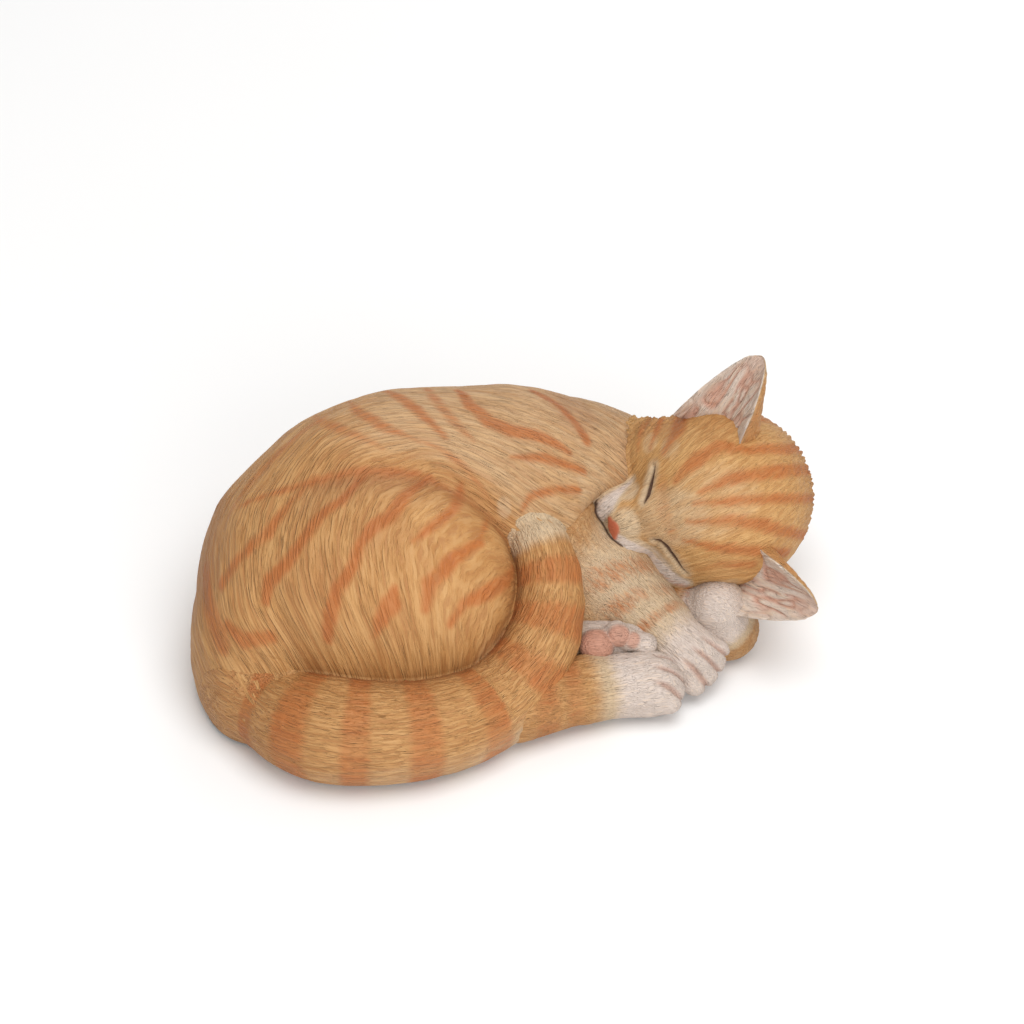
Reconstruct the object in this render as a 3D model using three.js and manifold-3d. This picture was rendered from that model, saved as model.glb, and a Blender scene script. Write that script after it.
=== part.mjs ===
// A sleeping ginger kitten figurine, slip-cast as hollow and solid parts that are stuck together with slip.
// Millimetres, +Z up. The base stands on felt pads at z = 0; -Y is the side the kitten's tail curls round.
import * as THREE from 'three';
import { mergeVertices } from 'three/addons/utils/BufferGeometryUtils.js';
import Module from 'manifold-3d';

const wasm = await Module();
wasm.setup();

// ---- Driving sizes: the first three are overall, with the head, ears, paws and tail as they are below ----
const LENGTH = 230; // rump to the lower ear's tip
const DEPTH = 162; // tail to back
const HEIGHT = 112; // base to the upper ear's tip
const WALL = 4; // of every hollow casting
const SEAM = 0.3; // slip seam between two castings that are stuck together
const HEAD_RADIUS = 34;
const EAR_LENGTH = 39;
const EAR_WIDTH = 33;
const EAR_WALL = 3;
const TAIL_RADIUS = 18.5; // at the root
const TAIL_TIP_RADIUS = 9.5;
const PAW_RADIUS = 11;
const NESTLE = 2; // how far a soft-looking part presses into the one it lies against
const POUR_HOLE_RADIUS = 12;
const PAD_RADIUS = 7;
const PAD_THICKNESS = 1.2;
const BASE = PAD_THICKNESS + SEAM; // height of the castings' flat underside

// Places and body masses below are laid out for a kitten of these overall sizes.
const LAYOUT = new THREE.Vector3(230, 162, 112);
const GROW = new THREE.Vector3(LENGTH, DEPTH, HEIGHT).divide(LAYOUT);
const MEAN_GROW = Math.cbrt(GROW.x * GROW.y * GROW.z);
const at = (x, y, z) => new THREE.Vector3(x, y, z).multiply(GROW);
const bulk = (radius) => radius * MEAN_GROW;

// ---- Clay: a mass is a function of a point, the distance to its skin, negative inside ----
const EGG_FLOOR = 1e-6;

function egg(centre, radii, turn = new THREE.Quaternion()) {
  const back = turn.clone().invert();
  return (p) => {
    const q = p.clone().sub(centre).applyQuaternion(back).divide(radii);
    const length = q.length();
    const slope = q.divide(radii).length();
    return (length * (length - 1)) / Math.max(slope, EGG_FLOOR);
  };
}

const JOINT_BLEND = 0.4; // share of a bone's radius over which it runs into the next bone

// A limb runs through joints, each [place, radius], thick or thin between them.
function limb(...joints) {
  const bones = joints.slice(1).map((end, i) => [joints[i], end]);
  return (p) => {
    let nearest = Infinity;
    for (const [[a, ra], [b, rb]] of bones) {
      const along = b.clone().sub(a);
      const share = THREE.MathUtils.clamp(p.clone().sub(a).dot(along) / along.lengthSq(), 0, 1);
      const bone = a.clone().addScaledVector(along, share);
      const skin = p.distanceTo(bone) - THREE.MathUtils.lerp(ra, rb, share);
      nearest = softer(nearest, skin, Math.min(ra, rb) * JOINT_BLEND);
    }
    return nearest;
  };
}

// Smooth minimum: two masses run into each other over about the given distance.
function softer(a, b, over) {
  if (a === Infinity) return b;
  const share = Math.max(over - Math.abs(a - b), 0) / over;
  return Math.min(a, b) - (share * share * over) / 4;
}

function press(over, ...masses) {
  return (p) => masses.reduce((skin, mass) => softer(skin, mass(p), over), Infinity);
}

// Below its widest height a casting is filled out towards a broad flat underside.
const fillOut = (mass, widest, share) => (p) =>
  mass(p.z < widest ? new THREE.Vector3(p.x, p.y, widest - (widest - p.z) * share) : p);

// ---- Skins: a mesh pulled onto a mass, or onto the level that lies off it by some distance ----
const REACH = 160; // no skin is further than this from the heart or the curve inside it
const STRIDE = 2;
const HALVINGS = 26;

function skinPoint(mass, from, way, level) {
  let inside = 0;
  let outside = REACH;
  const p = new THREE.Vector3();
  for (let step = STRIDE; step < REACH; step += STRIDE) {
    if (mass(p.copy(from).addScaledVector(way, step)) > level) {
      outside = step;
      break;
    }
    inside = step;
  }
  for (let i = 0; i < HALVINGS; i++) {
    const middle = (inside + outside) / 2;
    if (mass(p.copy(from).addScaledVector(way, middle)) > level) outside = middle;
    else inside = middle;
  }
  return p.copy(from).addScaledVector(way, (inside + outside) / 2);
}

// A round part: every vertex of a sphere slides out from the heart to the skin.
function roundSkin(mass, heart, detail, level = 0) {
  const geometry = new THREE.IcosahedronGeometry(1, detail);
  const place = geometry.attributes.position;
  const way = new THREE.Vector3();
  for (let i = 0; i < place.count; i++) {
    way.fromBufferAttribute(place, i).normalize();
    place.setXYZ(i, ...skinPoint(mass, heart, way, level).toArray());
  }
  return geometry;
}

// A long part: a capsule laid along a curve, every vertex sliding out from the curve to the skin.
function longSkin(mass, curve, around, along, level = 0) {
  const half = 1;
  const caps = Math.max(3, Math.round(around / 4));
  const geometry = new THREE.CapsuleGeometry(1, 2 * half, caps, around, along);
  const frames = curve.computeFrenetFrames(along, false);
  const place = geometry.attributes.position;
  const way = new THREE.Vector3();
  for (let i = 0; i < place.count; i++) {
    const [x, y, z] = [place.getX(i), place.getY(i), place.getZ(i)];
    const axial = THREE.MathUtils.clamp(y, -half, half);
    const share = (axial + half) / (2 * half);
    const k = Math.round(share * along);
    way.copy(frames.normals[k]).multiplyScalar(x);
    way.addScaledVector(frames.binormals[k], z).addScaledVector(frames.tangents[k], y - axial);
    place.setXYZ(i, ...skinPoint(mass, curve.getPointAt(share), way.normalize(), level).toArray());
  }
  return geometry;
}

// ---- Solids ----
const MERGE = 1e-3; // vertices this close are one

function manifoldOf(places, triangles) {
  const corners = new Uint32Array(triangles.flat());
  return new wasm.Manifold(new wasm.Mesh({ numProp: 3, vertProperties: places, triVerts: corners }));
}

// Triangles that shrink to nothing at a pole are left out, and an inside-out mesh is turned round.
function solid(geometry) {
  const bare = geometry.clone().deleteAttribute('normal').deleteAttribute('uv');
  const merged = mergeVertices(bare.index ? bare.toNonIndexed() : bare, MERGE);
  const places = merged.attributes.position.array;
  const corners = merged.index.array;
  const triangles = [];
  for (let i = 0; i < corners.length; i += 3) {
    const [a, b, c] = corners.subarray(i, i + 3);
    if (a !== b && b !== c && c !== a) triangles.push([a, b, c]);
  }
  const made = manifoldOf(places, triangles);
  return made.volume() > 0 ? made : manifoldOf(places, triangles.map(([a, b, c]) => [a, c, b]));
}

function geometryOf(made) {
  const { vertProperties, triVerts, numProp } = made.getMesh();
  const place = new Float32Array((vertProperties.length / numProp) * 3);
  for (let i = 0; i < place.length / 3; i++) {
    place.set(vertProperties.subarray(i * numProp, i * numProp + 3), i * 3);
  }
  return new THREE.BufferGeometry()
    .setAttribute('position', new THREE.BufferAttribute(place, 3))
    .setIndex(new THREE.BufferAttribute(triVerts, 1));
}

// Cutting can leave slivers, and only the part itself is kept.
function largest(made) {
  const bodies = made.decompose();
  return bodies.reduce((best, body) => (body.volume() > best.volume() ? body : best));
}

function flatten(made, height) {
  const room = 2 * REACH + LENGTH + DEPTH;
  const below = new THREE.BoxGeometry(room, room, room).translate(0, 0, height - room / 2);
  return made.subtract(solid(below));
}

const without = (made, ...others) => others.reduce((left, other) => left.subtract(other), made);

const ROD_SIDES = 28;

function rod(from, to, radius) {
  const along = to.clone().sub(from);
  const geometry = new THREE.CylinderGeometry(radius, radius, along.length(), ROD_SIDES);
  geometry.applyQuaternion(
    new THREE.Quaternion().setFromUnitVectors(new THREE.Vector3(0, 1, 0), along.clone().normalize()),
  );
  geometry.translate(...from.clone().add(to).multiplyScalar(0.5).toArray());
  return solid(geometry);
}

// ---- Torso: shoulders, ribs, loins and rump along a curled spine ----
const torsoHeart = at(-22, -2, 30);
const TORSO_FULL = at(0, 0, 34).z; // height of its widest girth
const TORSO_FULLNESS = 0.62;
const neckEnd = at(70, 24, 28);
const torsoMass = fillOut(
  press(
    bulk(14),
    limb(
      [at(27, 21, 33), bulk(33)],
      [at(2, 15, 37), bulk(39)],
      [at(-34, 7, 38), bulk(40.5)],
      [at(-66, -18, 37), bulk(45)],
      [at(-82, -50, 22), bulk(26)],
    ),
    limb([at(30, 22, 32), bulk(27)], [neckEnd, bulk(24)]),
    egg(at(-30, -22, 16), at(70, 48, 22)),
  ),
  TORSO_FULL,
  TORSO_FULLNESS,
);
const torsoSkin = solid(roundSkin(torsoMass, torsoHeart, 11));
const torsoKeepOff = solid(roundSkin(torsoMass, torsoHeart, 11, SEAM));
const torsoHollow = flatten(solid(roundSkin(torsoMass, torsoHeart, 6, -WALL)), BASE + WALL);

// ---- Haunch: the near thigh, a bowl stuck over the flank ----
const haunchHeart = at(-47, -38, 43);
const haunchRadii = at(51, 38, 41);
const HAUNCH_FULLNESS = 0.7;
const haunchMass = fillOut(egg(haunchHeart, haunchRadii), haunchHeart.z, HAUNCH_FULLNESS);
const haunchSkin = solid(roundSkin(haunchMass, haunchHeart, 8));
const haunchKeepOff = solid(roundSkin(haunchMass, haunchHeart, 8, SEAM));
const haunchHollow = flatten(solid(roundSkin(haunchMass, haunchHeart, 4, -WALL)), BASE + WALL);

// Share of its full girth that the haunch has at a height.
function haunchGirth(height) {
  const below = (Math.max(haunchHeart.z - height, 0) * HAUNCH_FULLNESS) / haunchRadii.z;
  return Math.sqrt(1 - Math.min(below, 1) ** 2);
}

// ---- Tail: an arc round the haunch, from the rump to the chest ----
const TAIL_START = THREE.MathUtils.degToRad(222);
const TAIL_END = THREE.MathUtils.degToRad(382);
const TAIL_LIFTS = 0.52; // share of the arc where it starts to climb
const tailRise = at(0, 0, 48).z;
const tailShift = at(3, 0, 0).x; // the ring that the tail makes lies this far forward of the haunch

const TAIL_TAPER = 1.4; // above 1 the root stays thick for longer

function tailRadius(share) {
  return THREE.MathUtils.lerp(TAIL_RADIUS, TAIL_TIP_RADIUS, share ** TAIL_TAPER);
}

class TailLine extends THREE.Curve {
  getPoint(share, target = new THREE.Vector3()) {
    const angle = THREE.MathUtils.lerp(TAIL_START, TAIL_END, share);
    const radius = tailRadius(share);
    const climb = THREE.MathUtils.smoothstep(share, TAIL_LIFTS, 1);
    const height = THREE.MathUtils.lerp(BASE + radius - NESTLE, tailRise, climb);
    const girth = haunchGirth(height);
    return target.set(
      haunchHeart.x + tailShift + (haunchRadii.x * girth + radius - NESTLE) * Math.cos(angle),
      haunchHeart.y + (haunchRadii.y * girth + radius - NESTLE) * Math.sin(angle),
      height,
    );
  }
}

const TAIL_BONES = 16;
const TAIL_SIDES = 18;
const TAIL_RINGS = 24;
const tailLine = new TailLine();
const tailMass = limb(
  ...Array.from({ length: TAIL_BONES + 1 }, (_, i) => [
    tailLine.getPoint(i / TAIL_BONES),
    tailRadius(i / TAIL_BONES),
  ]),
);
const tailSkin = solid(longSkin(tailMass, tailLine, TAIL_SIDES, TAIL_RINGS));
const tailKeepOff = solid(longSkin(tailMass, tailLine, TAIL_SIDES, TAIL_RINGS, SEAM));

// ---- Head: skull, cheeks, muzzle and chin in the head's own directions ----
const headPlace = at(75.7, 5.4, 45);
const headNose = new THREE.Vector3(-0.82, -0.53, 0.21).normalize();
const headCrown = new THREE.Vector3(0.5, -0.565, 0.643).addScaledVector(headNose, -0.024).normalize();
const headSide = new THREE.Vector3().crossVectors(headNose, headCrown);
const headTurn = new THREE.Quaternion().setFromRotationMatrix(
  new THREE.Matrix4().makeBasis(headNose, headCrown, headSide),
);
// A place on the head: forward, up and to the upper side, for a head of HEAD_RADIUS.
const HEAD_LAYOUT = 34;
const headGrow = HEAD_RADIUS / HEAD_LAYOUT;
const onHead = (forward, up, side) =>
  new THREE.Vector3(forward, up, side).multiplyScalar(headGrow).applyQuaternion(headTurn).add(headPlace);
const headEgg = (forward, up, side, rf, ru, rs) =>
  egg(onHead(forward, up, side), new THREE.Vector3(rf, ru, rs).multiplyScalar(headGrow), headTurn);

const skull = headEgg(-3, 5, 0, 33, 31, 34);
const cheeks = [15, -15].map((side) => headEgg(9, -9, side, 18, 16, 18));
const bridge = headEgg(24, 2, 0, 10, 9, 8);
const muzzle = headEgg(26, -8, 0, 12, 10, 11);
const whiskerPads = [5, -5].map((side) => headEgg(31, -11, side, 7, 6.5, 7));
const chin = headEgg(25, -18, 0, 8, 6, 8);
const nose = headEgg(36, -5.5, 0, 4, 4, 5);
const headMass = press(5 * headGrow, skull, ...cheeks, bridge, muzzle, ...whiskerPads, chin, nose);
const headSkin = solid(roundSkin(headMass, headPlace, 9));
const headKeepOff = solid(roundSkin(headMass, headPlace, 9, SEAM));
const headHollow = solid(roundSkin(headMass, headPlace, 4, -WALL));

// ---- Ears: a cupped leaf of clay that tapers to a round tip and leans out from the skull ----
const EAR_CUP = 9; // how far the side edges curl forward at the root
const EAR_UNCURL = 0.45; // share of that curl that is gone at the tip
const EAR_TIP = 0.1; // share of the width that is left at the tip
const EAR_TAPER = 0.7; // below 1 the ear's sides bulge outwards
const EAR_ROOT = 7; // length below the skull's skin that is cut away to seat the ear

function earLeaf(side, grow = 0) {
  const root = onHead(1, 14, side * 27);
  const tip = onHead(-4, 48, side * 48);
  const inner = onHead(-3, 26, side * 20.5);
  const outer = onHead(5, 5, side * 36);
  const up = tip.sub(root).normalize();
  const front = new THREE.Vector3().crossVectors(up, outer.sub(inner)).multiplyScalar(side).normalize();
  const across = new THREE.Vector3().crossVectors(up, front);
  const geometry = new THREE.BoxGeometry(1, 1, EAR_WALL + 2 * grow, 10, 12, 1);
  const place = geometry.attributes.position;
  for (let i = 0; i < place.count; i++) {
    const rise = place.getY(i) + 0.5;
    const taper = Math.max((1 - rise) ** EAR_TAPER, EAR_TIP);
    const aside = place.getX(i) * (EAR_WIDTH * taper + 2 * grow);
    const curl = EAR_CUP * (1 - EAR_UNCURL * rise) * (aside / (EAR_WIDTH * taper * 0.5)) ** 2;
    const height = (EAR_ROOT + EAR_LENGTH + 2 * grow) * rise - EAR_ROOT - grow;
    place.setXYZ(i, aside, height, place.getZ(i) + curl);
  }
  geometry.applyMatrix4(new THREE.Matrix4().makeBasis(across, up, front).setPosition(root));
  return solid(geometry);
}

// ---- Forelegs and hind feet ----
// A paw's measures are shares of its radius: flatness, toe radius, and the toes' reach past the knuckles.
const FLATNESS = 0.88;
const TOE_RADIUS = 0.44;
const TOE_REACH = 0.78;
const TOE_FALLS_BACK = 0.1; // for each toe's width away from the middle of the paw
const WRIST_RADIUS = 0.85;

const pad = (place, radius) => egg(place, new THREE.Vector3(radius, radius, radius * FLATNESS));

function paw(wrist, knuckles, aim, spread, radius) {
  const forearm = limb([wrist, radius * WRIST_RADIUS], [knuckles, radius * WRIST_RADIUS]);
  const palm = press(radius / 2, forearm, pad(knuckles, radius));
  const toes = [-1.5, -0.5, 0.5, 1.5].map((k) => {
    const place = knuckles.clone().addScaledVector(spread, radius * TOE_RADIUS * k);
    place.addScaledVector(aim, radius * (TOE_REACH - TOE_FALLS_BACK * Math.abs(k)));
    return pad(place, radius * TOE_RADIUS);
  });
  return press(radius / 4, palm, ...toes);
}

const armElbow = at(28, -12, 29);
const armWrist = at(56, -33, 18);
const armKnuckles = at(67.5, -43, 12.5);
const upperArmMass = press(
  bulk(5),
  limb([armElbow, bulk(17)], [armWrist, PAW_RADIUS * 1.1]),
  paw(armWrist, armKnuckles, at(0.74, -0.62, -0.25).normalize(), at(0.55, 0.72, 0.4).normalize(), PAW_RADIUS),
);
const armLine = new THREE.LineCurve3(armElbow, armKnuckles);

// The other foreleg lies under the chin, and its paw turns up against the cheek.
const pillowElbow = at(45, -8, 14);
const pillowWrist = at(81, -27, 11);
const pillowKnuckles = at(78, -27, 22);
const pillowMass = press(
  bulk(5),
  limb([pillowElbow, bulk(12)], [at(70, -20, 12), bulk(12)], [pillowWrist, PAW_RADIUS]),
  limb([pillowWrist, PAW_RADIUS * 0.95], [pillowKnuckles, PAW_RADIUS * 0.95]),
);
const pillowLine = new THREE.LineCurve3(pillowElbow, pillowWrist.clone().lerp(pillowKnuckles, 0.4));

const footHeel = at(4, -70, 13);
const footKnuckles = at(52, -56.5, 11.5);
const nearFootMass = press(
  bulk(4),
  limb([footHeel, bulk(13)], [at(30, -60, 12.5), PAW_RADIUS * 1.05], [footKnuckles, PAW_RADIUS]),
  paw(at(38, -58, 12), footKnuckles, at(1, 0.02, -0.05).normalize(), at(0, 1, 0.25).normalize(), PAW_RADIUS),
);
const nearFootLine = new THREE.LineCurve3(footHeel, footKnuckles);

const farFootKnuckles = at(45, -41, 17);
const farFootHeel = at(18, -42, 16);
const farFootMass = press(
  bulk(3),
  limb([farFootHeel, bulk(11)], [farFootKnuckles, bulk(10)]),
  ...[-1, 0, 1].map((k) => pad(farFootKnuckles.clone().add(at(7, 6.5 * k, 3)), bulk(4.6))),
);
const farFootLine = new THREE.LineCurve3(farFootHeel, farFootKnuckles);

// ---- The castings, each cut to seat on the ones made before it ----
const pourHoleFoot = at(-22, -4, 0);
const pourHoleTop = pourHoleFoot.clone().setZ(BASE + 2 * WALL);
const pourHole = rod(pourHoleFoot, pourHoleTop, POUR_HOLE_RADIUS);
const torso = largest(without(flatten(torsoSkin, BASE), torsoHollow, pourHole));
const haunch = largest(without(flatten(haunchSkin, BASE), haunchHollow, torsoKeepOff));
const head = largest(without(flatten(headSkin, BASE), headHollow, torsoKeepOff));
const tail = largest(without(flatten(tailSkin, BASE), torsoKeepOff, haunchKeepOff));

const LIMB_SIDES = 16;
const LIMB_RINGS = 10;
const limbSkin = (mass, line, level = 0) => solid(longSkin(mass, line, LIMB_SIDES, LIMB_RINGS, level));
const bodyKeepOff = [torsoKeepOff, haunchKeepOff, tailKeepOff, headKeepOff];
const upperArm = largest(without(flatten(limbSkin(upperArmMass, armLine), BASE), ...bodyKeepOff));
const upperArmKeepOff = limbSkin(upperArmMass, armLine, SEAM);
const nearFoot = largest(
  without(flatten(limbSkin(nearFootMass, nearFootLine), BASE), ...bodyKeepOff, upperArmKeepOff),
);
const nearFootKeepOff = limbSkin(nearFootMass, nearFootLine, SEAM);
const lowerEarKeepOff = earLeaf(-1, SEAM);
const pillowPaw = largest(
  without(flatten(limbSkin(pillowMass, pillowLine), BASE), ...bodyKeepOff, upperArmKeepOff, lowerEarKeepOff),
);
const pillowKeepOff = limbSkin(pillowMass, pillowLine, SEAM);
const farFoot = largest(
  without(
    flatten(limbSkin(farFootMass, farFootLine), BASE),
    ...bodyKeepOff,
    upperArmKeepOff,
    nearFootKeepOff,
    pillowKeepOff,
  ),
);

// ---- Assembly ----
const ginger = new THREE.MeshStandardMaterial({ color: 0xd39a5c, roughness: 0.6, metalness: 0 });
const cream = new THREE.MeshStandardMaterial({ color: 0xd9c2b4, roughness: 0.6, metalness: 0 });
const felt = new THREE.MeshStandardMaterial({ color: 0x3a3632, roughness: 1, metalness: 0 });

const kitten = new THREE.Group();

function addCasting(name, made, material) {
  const mesh = new THREE.Mesh(geometryOf(made), material);
  mesh.name = name;
  kitten.add(mesh);
}

addCasting('torso_shell', torso, ginger);
addCasting('haunch_shell', haunch, ginger);
addCasting('head_shell', head, ginger);
addCasting('upper_ear', largest(without(earLeaf(1), headKeepOff)), cream);
addCasting('lower_ear', largest(without(earLeaf(-1), headKeepOff)), cream);
addCasting('tail', tail, ginger);
addCasting('upper_foreleg', upperArm, cream);
addCasting('pillow_foreleg', pillowPaw, cream);
addCasting('near_hind_foot', nearFoot, cream);
addCasting('far_hind_foot', farFoot, cream);

const PAD_SIDES = 20;
const padPlaces = { rump: [-78, -30], back: [-30, 30], shoulder: [30, 18], haunch: [-38, -48] };
for (const [name, [x, y]] of Object.entries(padPlaces)) {
  const disc = new THREE.CylinderGeometry(PAD_RADIUS, PAD_RADIUS, PAD_THICKNESS, PAD_SIDES);
  disc.rotateX(Math.PI / 2);
  const mesh = new THREE.Mesh(disc, felt);
  mesh.name = `felt_pad_${name}`;
  mesh.position.copy(at(x, y, 0)).setZ(PAD_THICKNESS / 2);
  kitten.add(mesh);
}

// The origin is under the middle of the figurine, on the surface that it stands on.
const around = new THREE.Box3().setFromObject(kitten);
const middle = around.getCenter(new THREE.Vector3());
kitten.position.set(-middle.x, -middle.y, 0);

export default kitten;
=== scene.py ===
"""A sleeping ginger kitten figurine: cast in parts, engraved with fur and painted by hand."""

import itertools
import math

import bmesh
import bpy
import numpy as np
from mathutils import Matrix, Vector


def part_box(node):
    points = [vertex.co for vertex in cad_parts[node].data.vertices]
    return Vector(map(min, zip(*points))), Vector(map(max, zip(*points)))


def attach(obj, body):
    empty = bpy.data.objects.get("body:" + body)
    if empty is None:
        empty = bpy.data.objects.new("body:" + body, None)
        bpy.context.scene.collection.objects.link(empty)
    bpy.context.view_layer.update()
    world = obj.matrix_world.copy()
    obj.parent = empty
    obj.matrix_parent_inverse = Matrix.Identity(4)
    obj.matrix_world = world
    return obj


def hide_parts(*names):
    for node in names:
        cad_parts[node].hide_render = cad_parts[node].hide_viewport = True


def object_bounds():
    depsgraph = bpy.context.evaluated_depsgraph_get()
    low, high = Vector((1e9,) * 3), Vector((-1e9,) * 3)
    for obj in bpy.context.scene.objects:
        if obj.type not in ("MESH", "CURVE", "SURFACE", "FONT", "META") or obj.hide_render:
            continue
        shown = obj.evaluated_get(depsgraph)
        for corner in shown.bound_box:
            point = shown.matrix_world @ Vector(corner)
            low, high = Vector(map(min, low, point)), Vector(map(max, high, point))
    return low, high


bl_info = {
    "name": "Sleeping Kitten Figurine",
    "version": (1, 0, 0),
    "blender": (4, 5, 0),
    "location": "View3D > Sidebar > Kitten",
    "description": "Builds a painted figurine of a sleeping ginger kitten from its cast parts",
    "category": "Add Mesh",
}

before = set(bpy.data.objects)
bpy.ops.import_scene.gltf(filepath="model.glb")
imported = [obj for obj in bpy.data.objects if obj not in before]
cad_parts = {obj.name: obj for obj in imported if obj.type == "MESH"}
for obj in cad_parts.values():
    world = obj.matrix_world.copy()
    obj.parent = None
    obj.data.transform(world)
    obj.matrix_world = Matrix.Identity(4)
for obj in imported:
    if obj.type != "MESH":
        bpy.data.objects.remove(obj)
CAD_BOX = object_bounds()

# ---- The layout: millimetres, with the felt pads to tell where it lies in the frame ----
MM = 0.001
PAD_PLACES = {"rump": (-78, -30), "back": (-30, 30), "shoulder": (30, 18), "haunch": (-38, -48)}
LAYOUT_TOP = 111.35  # height of the upper ear's tip
BASE = 1.5  # height of the castings' flat underside


def pad_middle(name):
    low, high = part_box("felt_pad_" + name)
    return (np.array(low) + np.array(high)) / 2


def layout_frame():
    """Metres in the frame for each millimetre of the layout, and the place of the layout's zero."""
    stretch = np.full(3, float(CAD_BOX[1][2]) / LAYOUT_TOP)
    for axis, (one, other) in enumerate((("shoulder", "rump"), ("back", "haunch"))):
        apart = PAD_PLACES[one][axis] - PAD_PLACES[other][axis]
        stretch[axis] = (pad_middle(one) - pad_middle(other))[axis] / apart
    origin = pad_middle("back") - stretch * (*PAD_PLACES["back"], 0)
    origin[2] = 0
    return stretch, origin


STRETCH, ORIGIN = layout_frame()


# ---- Clay: a mass gives, at each point, the distance to its skin, negative inside ----
JOINT_BLEND = 0.4  # share of a bone's radius over which it runs into the next bone


def unit(*direction):
    direction = np.array(direction, float)
    return direction / np.linalg.norm(direction)


def ramp(value, start, end):
    """Climbs smoothly from 0 at start to 1 at end."""
    share = np.clip((value - start) / (end - start), 0, 1)
    return share * share * (3 - 2 * share)


def mix(a, b, share):
    return a + (b - a) * share


def egg(centre, radii, axes=np.eye(3)):
    centre, radii = np.array(centre, float), np.array(radii, float)

    def mass(p):
        q = (p - centre) @ axes.T / radii
        length = np.linalg.norm(q, axis=1)
        slope = np.linalg.norm(q / radii, axis=1)
        return length * (length - 1) / np.maximum(slope, 1e-6)

    return mass


def softer(a, b, over):
    """Smooth minimum: two masses run into each other over about that distance."""
    share = np.maximum(over - np.abs(a - b), 0) / over
    return np.minimum(a, b) - share * share * over / 4


def limb(*joints):
    """A limb through joints, each x, y, z and radius."""
    joints = np.array(joints, float)

    def mass(p):
        skin = None
        for a, b in zip(joints[:-1], joints[1:]):
            along = b[:3] - a[:3]
            share = np.clip((p - a[:3]) @ along / (along @ along), 0, 1)
            away = np.linalg.norm(p - a[:3] - share[:, None] * along, axis=1)
            bone = away - mix(a[3], b[3], share)
            over = min(a[3], b[3]) * JOINT_BLEND
            skin = bone if skin is None else softer(skin, bone, over)
        return skin

    return mass


def press(over, *masses):
    def mass(p):
        skin = masses[0](p)
        for other in masses[1:]:
            skin = softer(skin, other(p), over)
        return skin

    return mass


def fill_out(mass, widest, share):
    """Below its widest height a casting is filled out towards a broad flat underside."""

    def filled(p):
        q = p.copy()
        low = q[:, 2] < widest
        q[low, 2] = widest - (widest - q[low, 2]) * share
        return mass(q)

    return filled


# ---- The kitten's masses. A joint is x, y, z and radius ----
SPINE = (
    (27, 23, 33.5, 33),
    (2, 15, 37, 39),
    (-34, 8, 38.5, 40.5),
    (-52, -6, 38, 42.8),
    (-69, -21, 33, 40.2),
    (-84, -46, 24, 30),
)
NECK = ((30, 22, 32, 27), (70, 24, 28, 24))
BREAST = ((44, -2, 17, 14), (60, -6, 17, 12))
BELLY, BELLY_RADII = (-30, -22, 16), (70, 48, 22)
TORSO_BLEND = 14
TORSO_WIDEST = 34  # height of its widest girth
TORSO_FULLNESS = 0.62
CHIN_BED = ((40.5, -8, 45, 11.5), (41, -26, 59, 13.5))  # keeps the chest clear of the muzzle
CHIN_BED_EDGE = 5


def hollow(mass, bed, over):
    """Presses the bed's shape into the mass."""

    def pressed(p):
        return -softer(-mass(p), bed(p), over)

    return pressed


trunk = press(TORSO_BLEND, limb(*SPINE), limb(*NECK), egg(BELLY, BELLY_RADII), limb(*BREAST))
torso = hollow(fill_out(trunk, TORSO_WIDEST, TORSO_FULLNESS), limb(*CHIN_BED), CHIN_BED_EDGE)

HAUNCH_HEART = np.array((-47, -38, 43.0))
HAUNCH_RADII = np.array((51, 38, 41.0))
HAUNCH_FULLNESS = 0.7
haunch = fill_out(egg(HAUNCH_HEART, HAUNCH_RADII), HAUNCH_HEART[2], HAUNCH_FULLNESS)

TAIL_RADII = (18.5, 9.5)  # at the root and at the tip
TAIL_ANGLES = np.radians((222, 386))  # round the haunch
TAIL_SHIFT = 3  # of the middle of the tail's ring, forward of the haunch
TAIL_TAPER = 1.4  # above 1 the root stays thick for longer
TAIL_ROOT = 0.78  # share of the radius where it leaves the rump
TAIL_FILLS = 0.2  # share of its length where it has its full radius
TAIL_LIFTS = 0.52  # share of its length where it starts to climb
TAIL_TOP = 50.5
TAIL_BONES = 16
NESTLE = 2  # how far the tail sinks into what it lies on


def tail_radius(share):
    return mix(*TAIL_RADII, share**TAIL_TAPER) * mix(TAIL_ROOT, 1, ramp(share, 0, TAIL_FILLS))


def tail_line(share):
    """Points along the middle of the tail, which lies round the haunch and climbs at its end."""
    angle = mix(*TAIL_ANGLES, share)
    radius = tail_radius(share)
    height = mix(BASE + radius - NESTLE, TAIL_TOP, ramp(share, TAIL_LIFTS, 1))
    below = np.clip((HAUNCH_HEART[2] - height) * HAUNCH_FULLNESS / HAUNCH_RADII[2], 0, 1)
    girth = np.sqrt(1 - below**2)
    x = HAUNCH_HEART[0] + TAIL_SHIFT + (HAUNCH_RADII[0] * girth + radius - NESTLE) * np.cos(angle)
    y = HAUNCH_HEART[1] + (HAUNCH_RADII[1] * girth + radius - NESTLE) * np.sin(angle)
    return np.stack((x, y, height), axis=1)


tail_shares = np.linspace(0, 1, TAIL_BONES + 1)
tail = limb(*np.column_stack((tail_line(tail_shares), tail_radius(tail_shares))))

# ---- The head has its own directions: towards the nose, the crown and the upper side ----
HEAD = np.array((75.7, 5.4, 45))
NOSE = unit(-0.82, -0.53, 0.21)
CROWN = np.array((0.5, -0.565, 0.643))
CROWN = unit(*(CROWN - (CROWN @ NOSE) * NOSE))
HEAD_AXES = np.array((NOSE, CROWN, np.cross(NOSE, CROWN)))


def on_head(*local):
    return HEAD + np.array(local, float) @ HEAD_AXES


def head_egg(*measures):
    return egg(on_head(*measures[:3]), measures[3:], HEAD_AXES)


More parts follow.
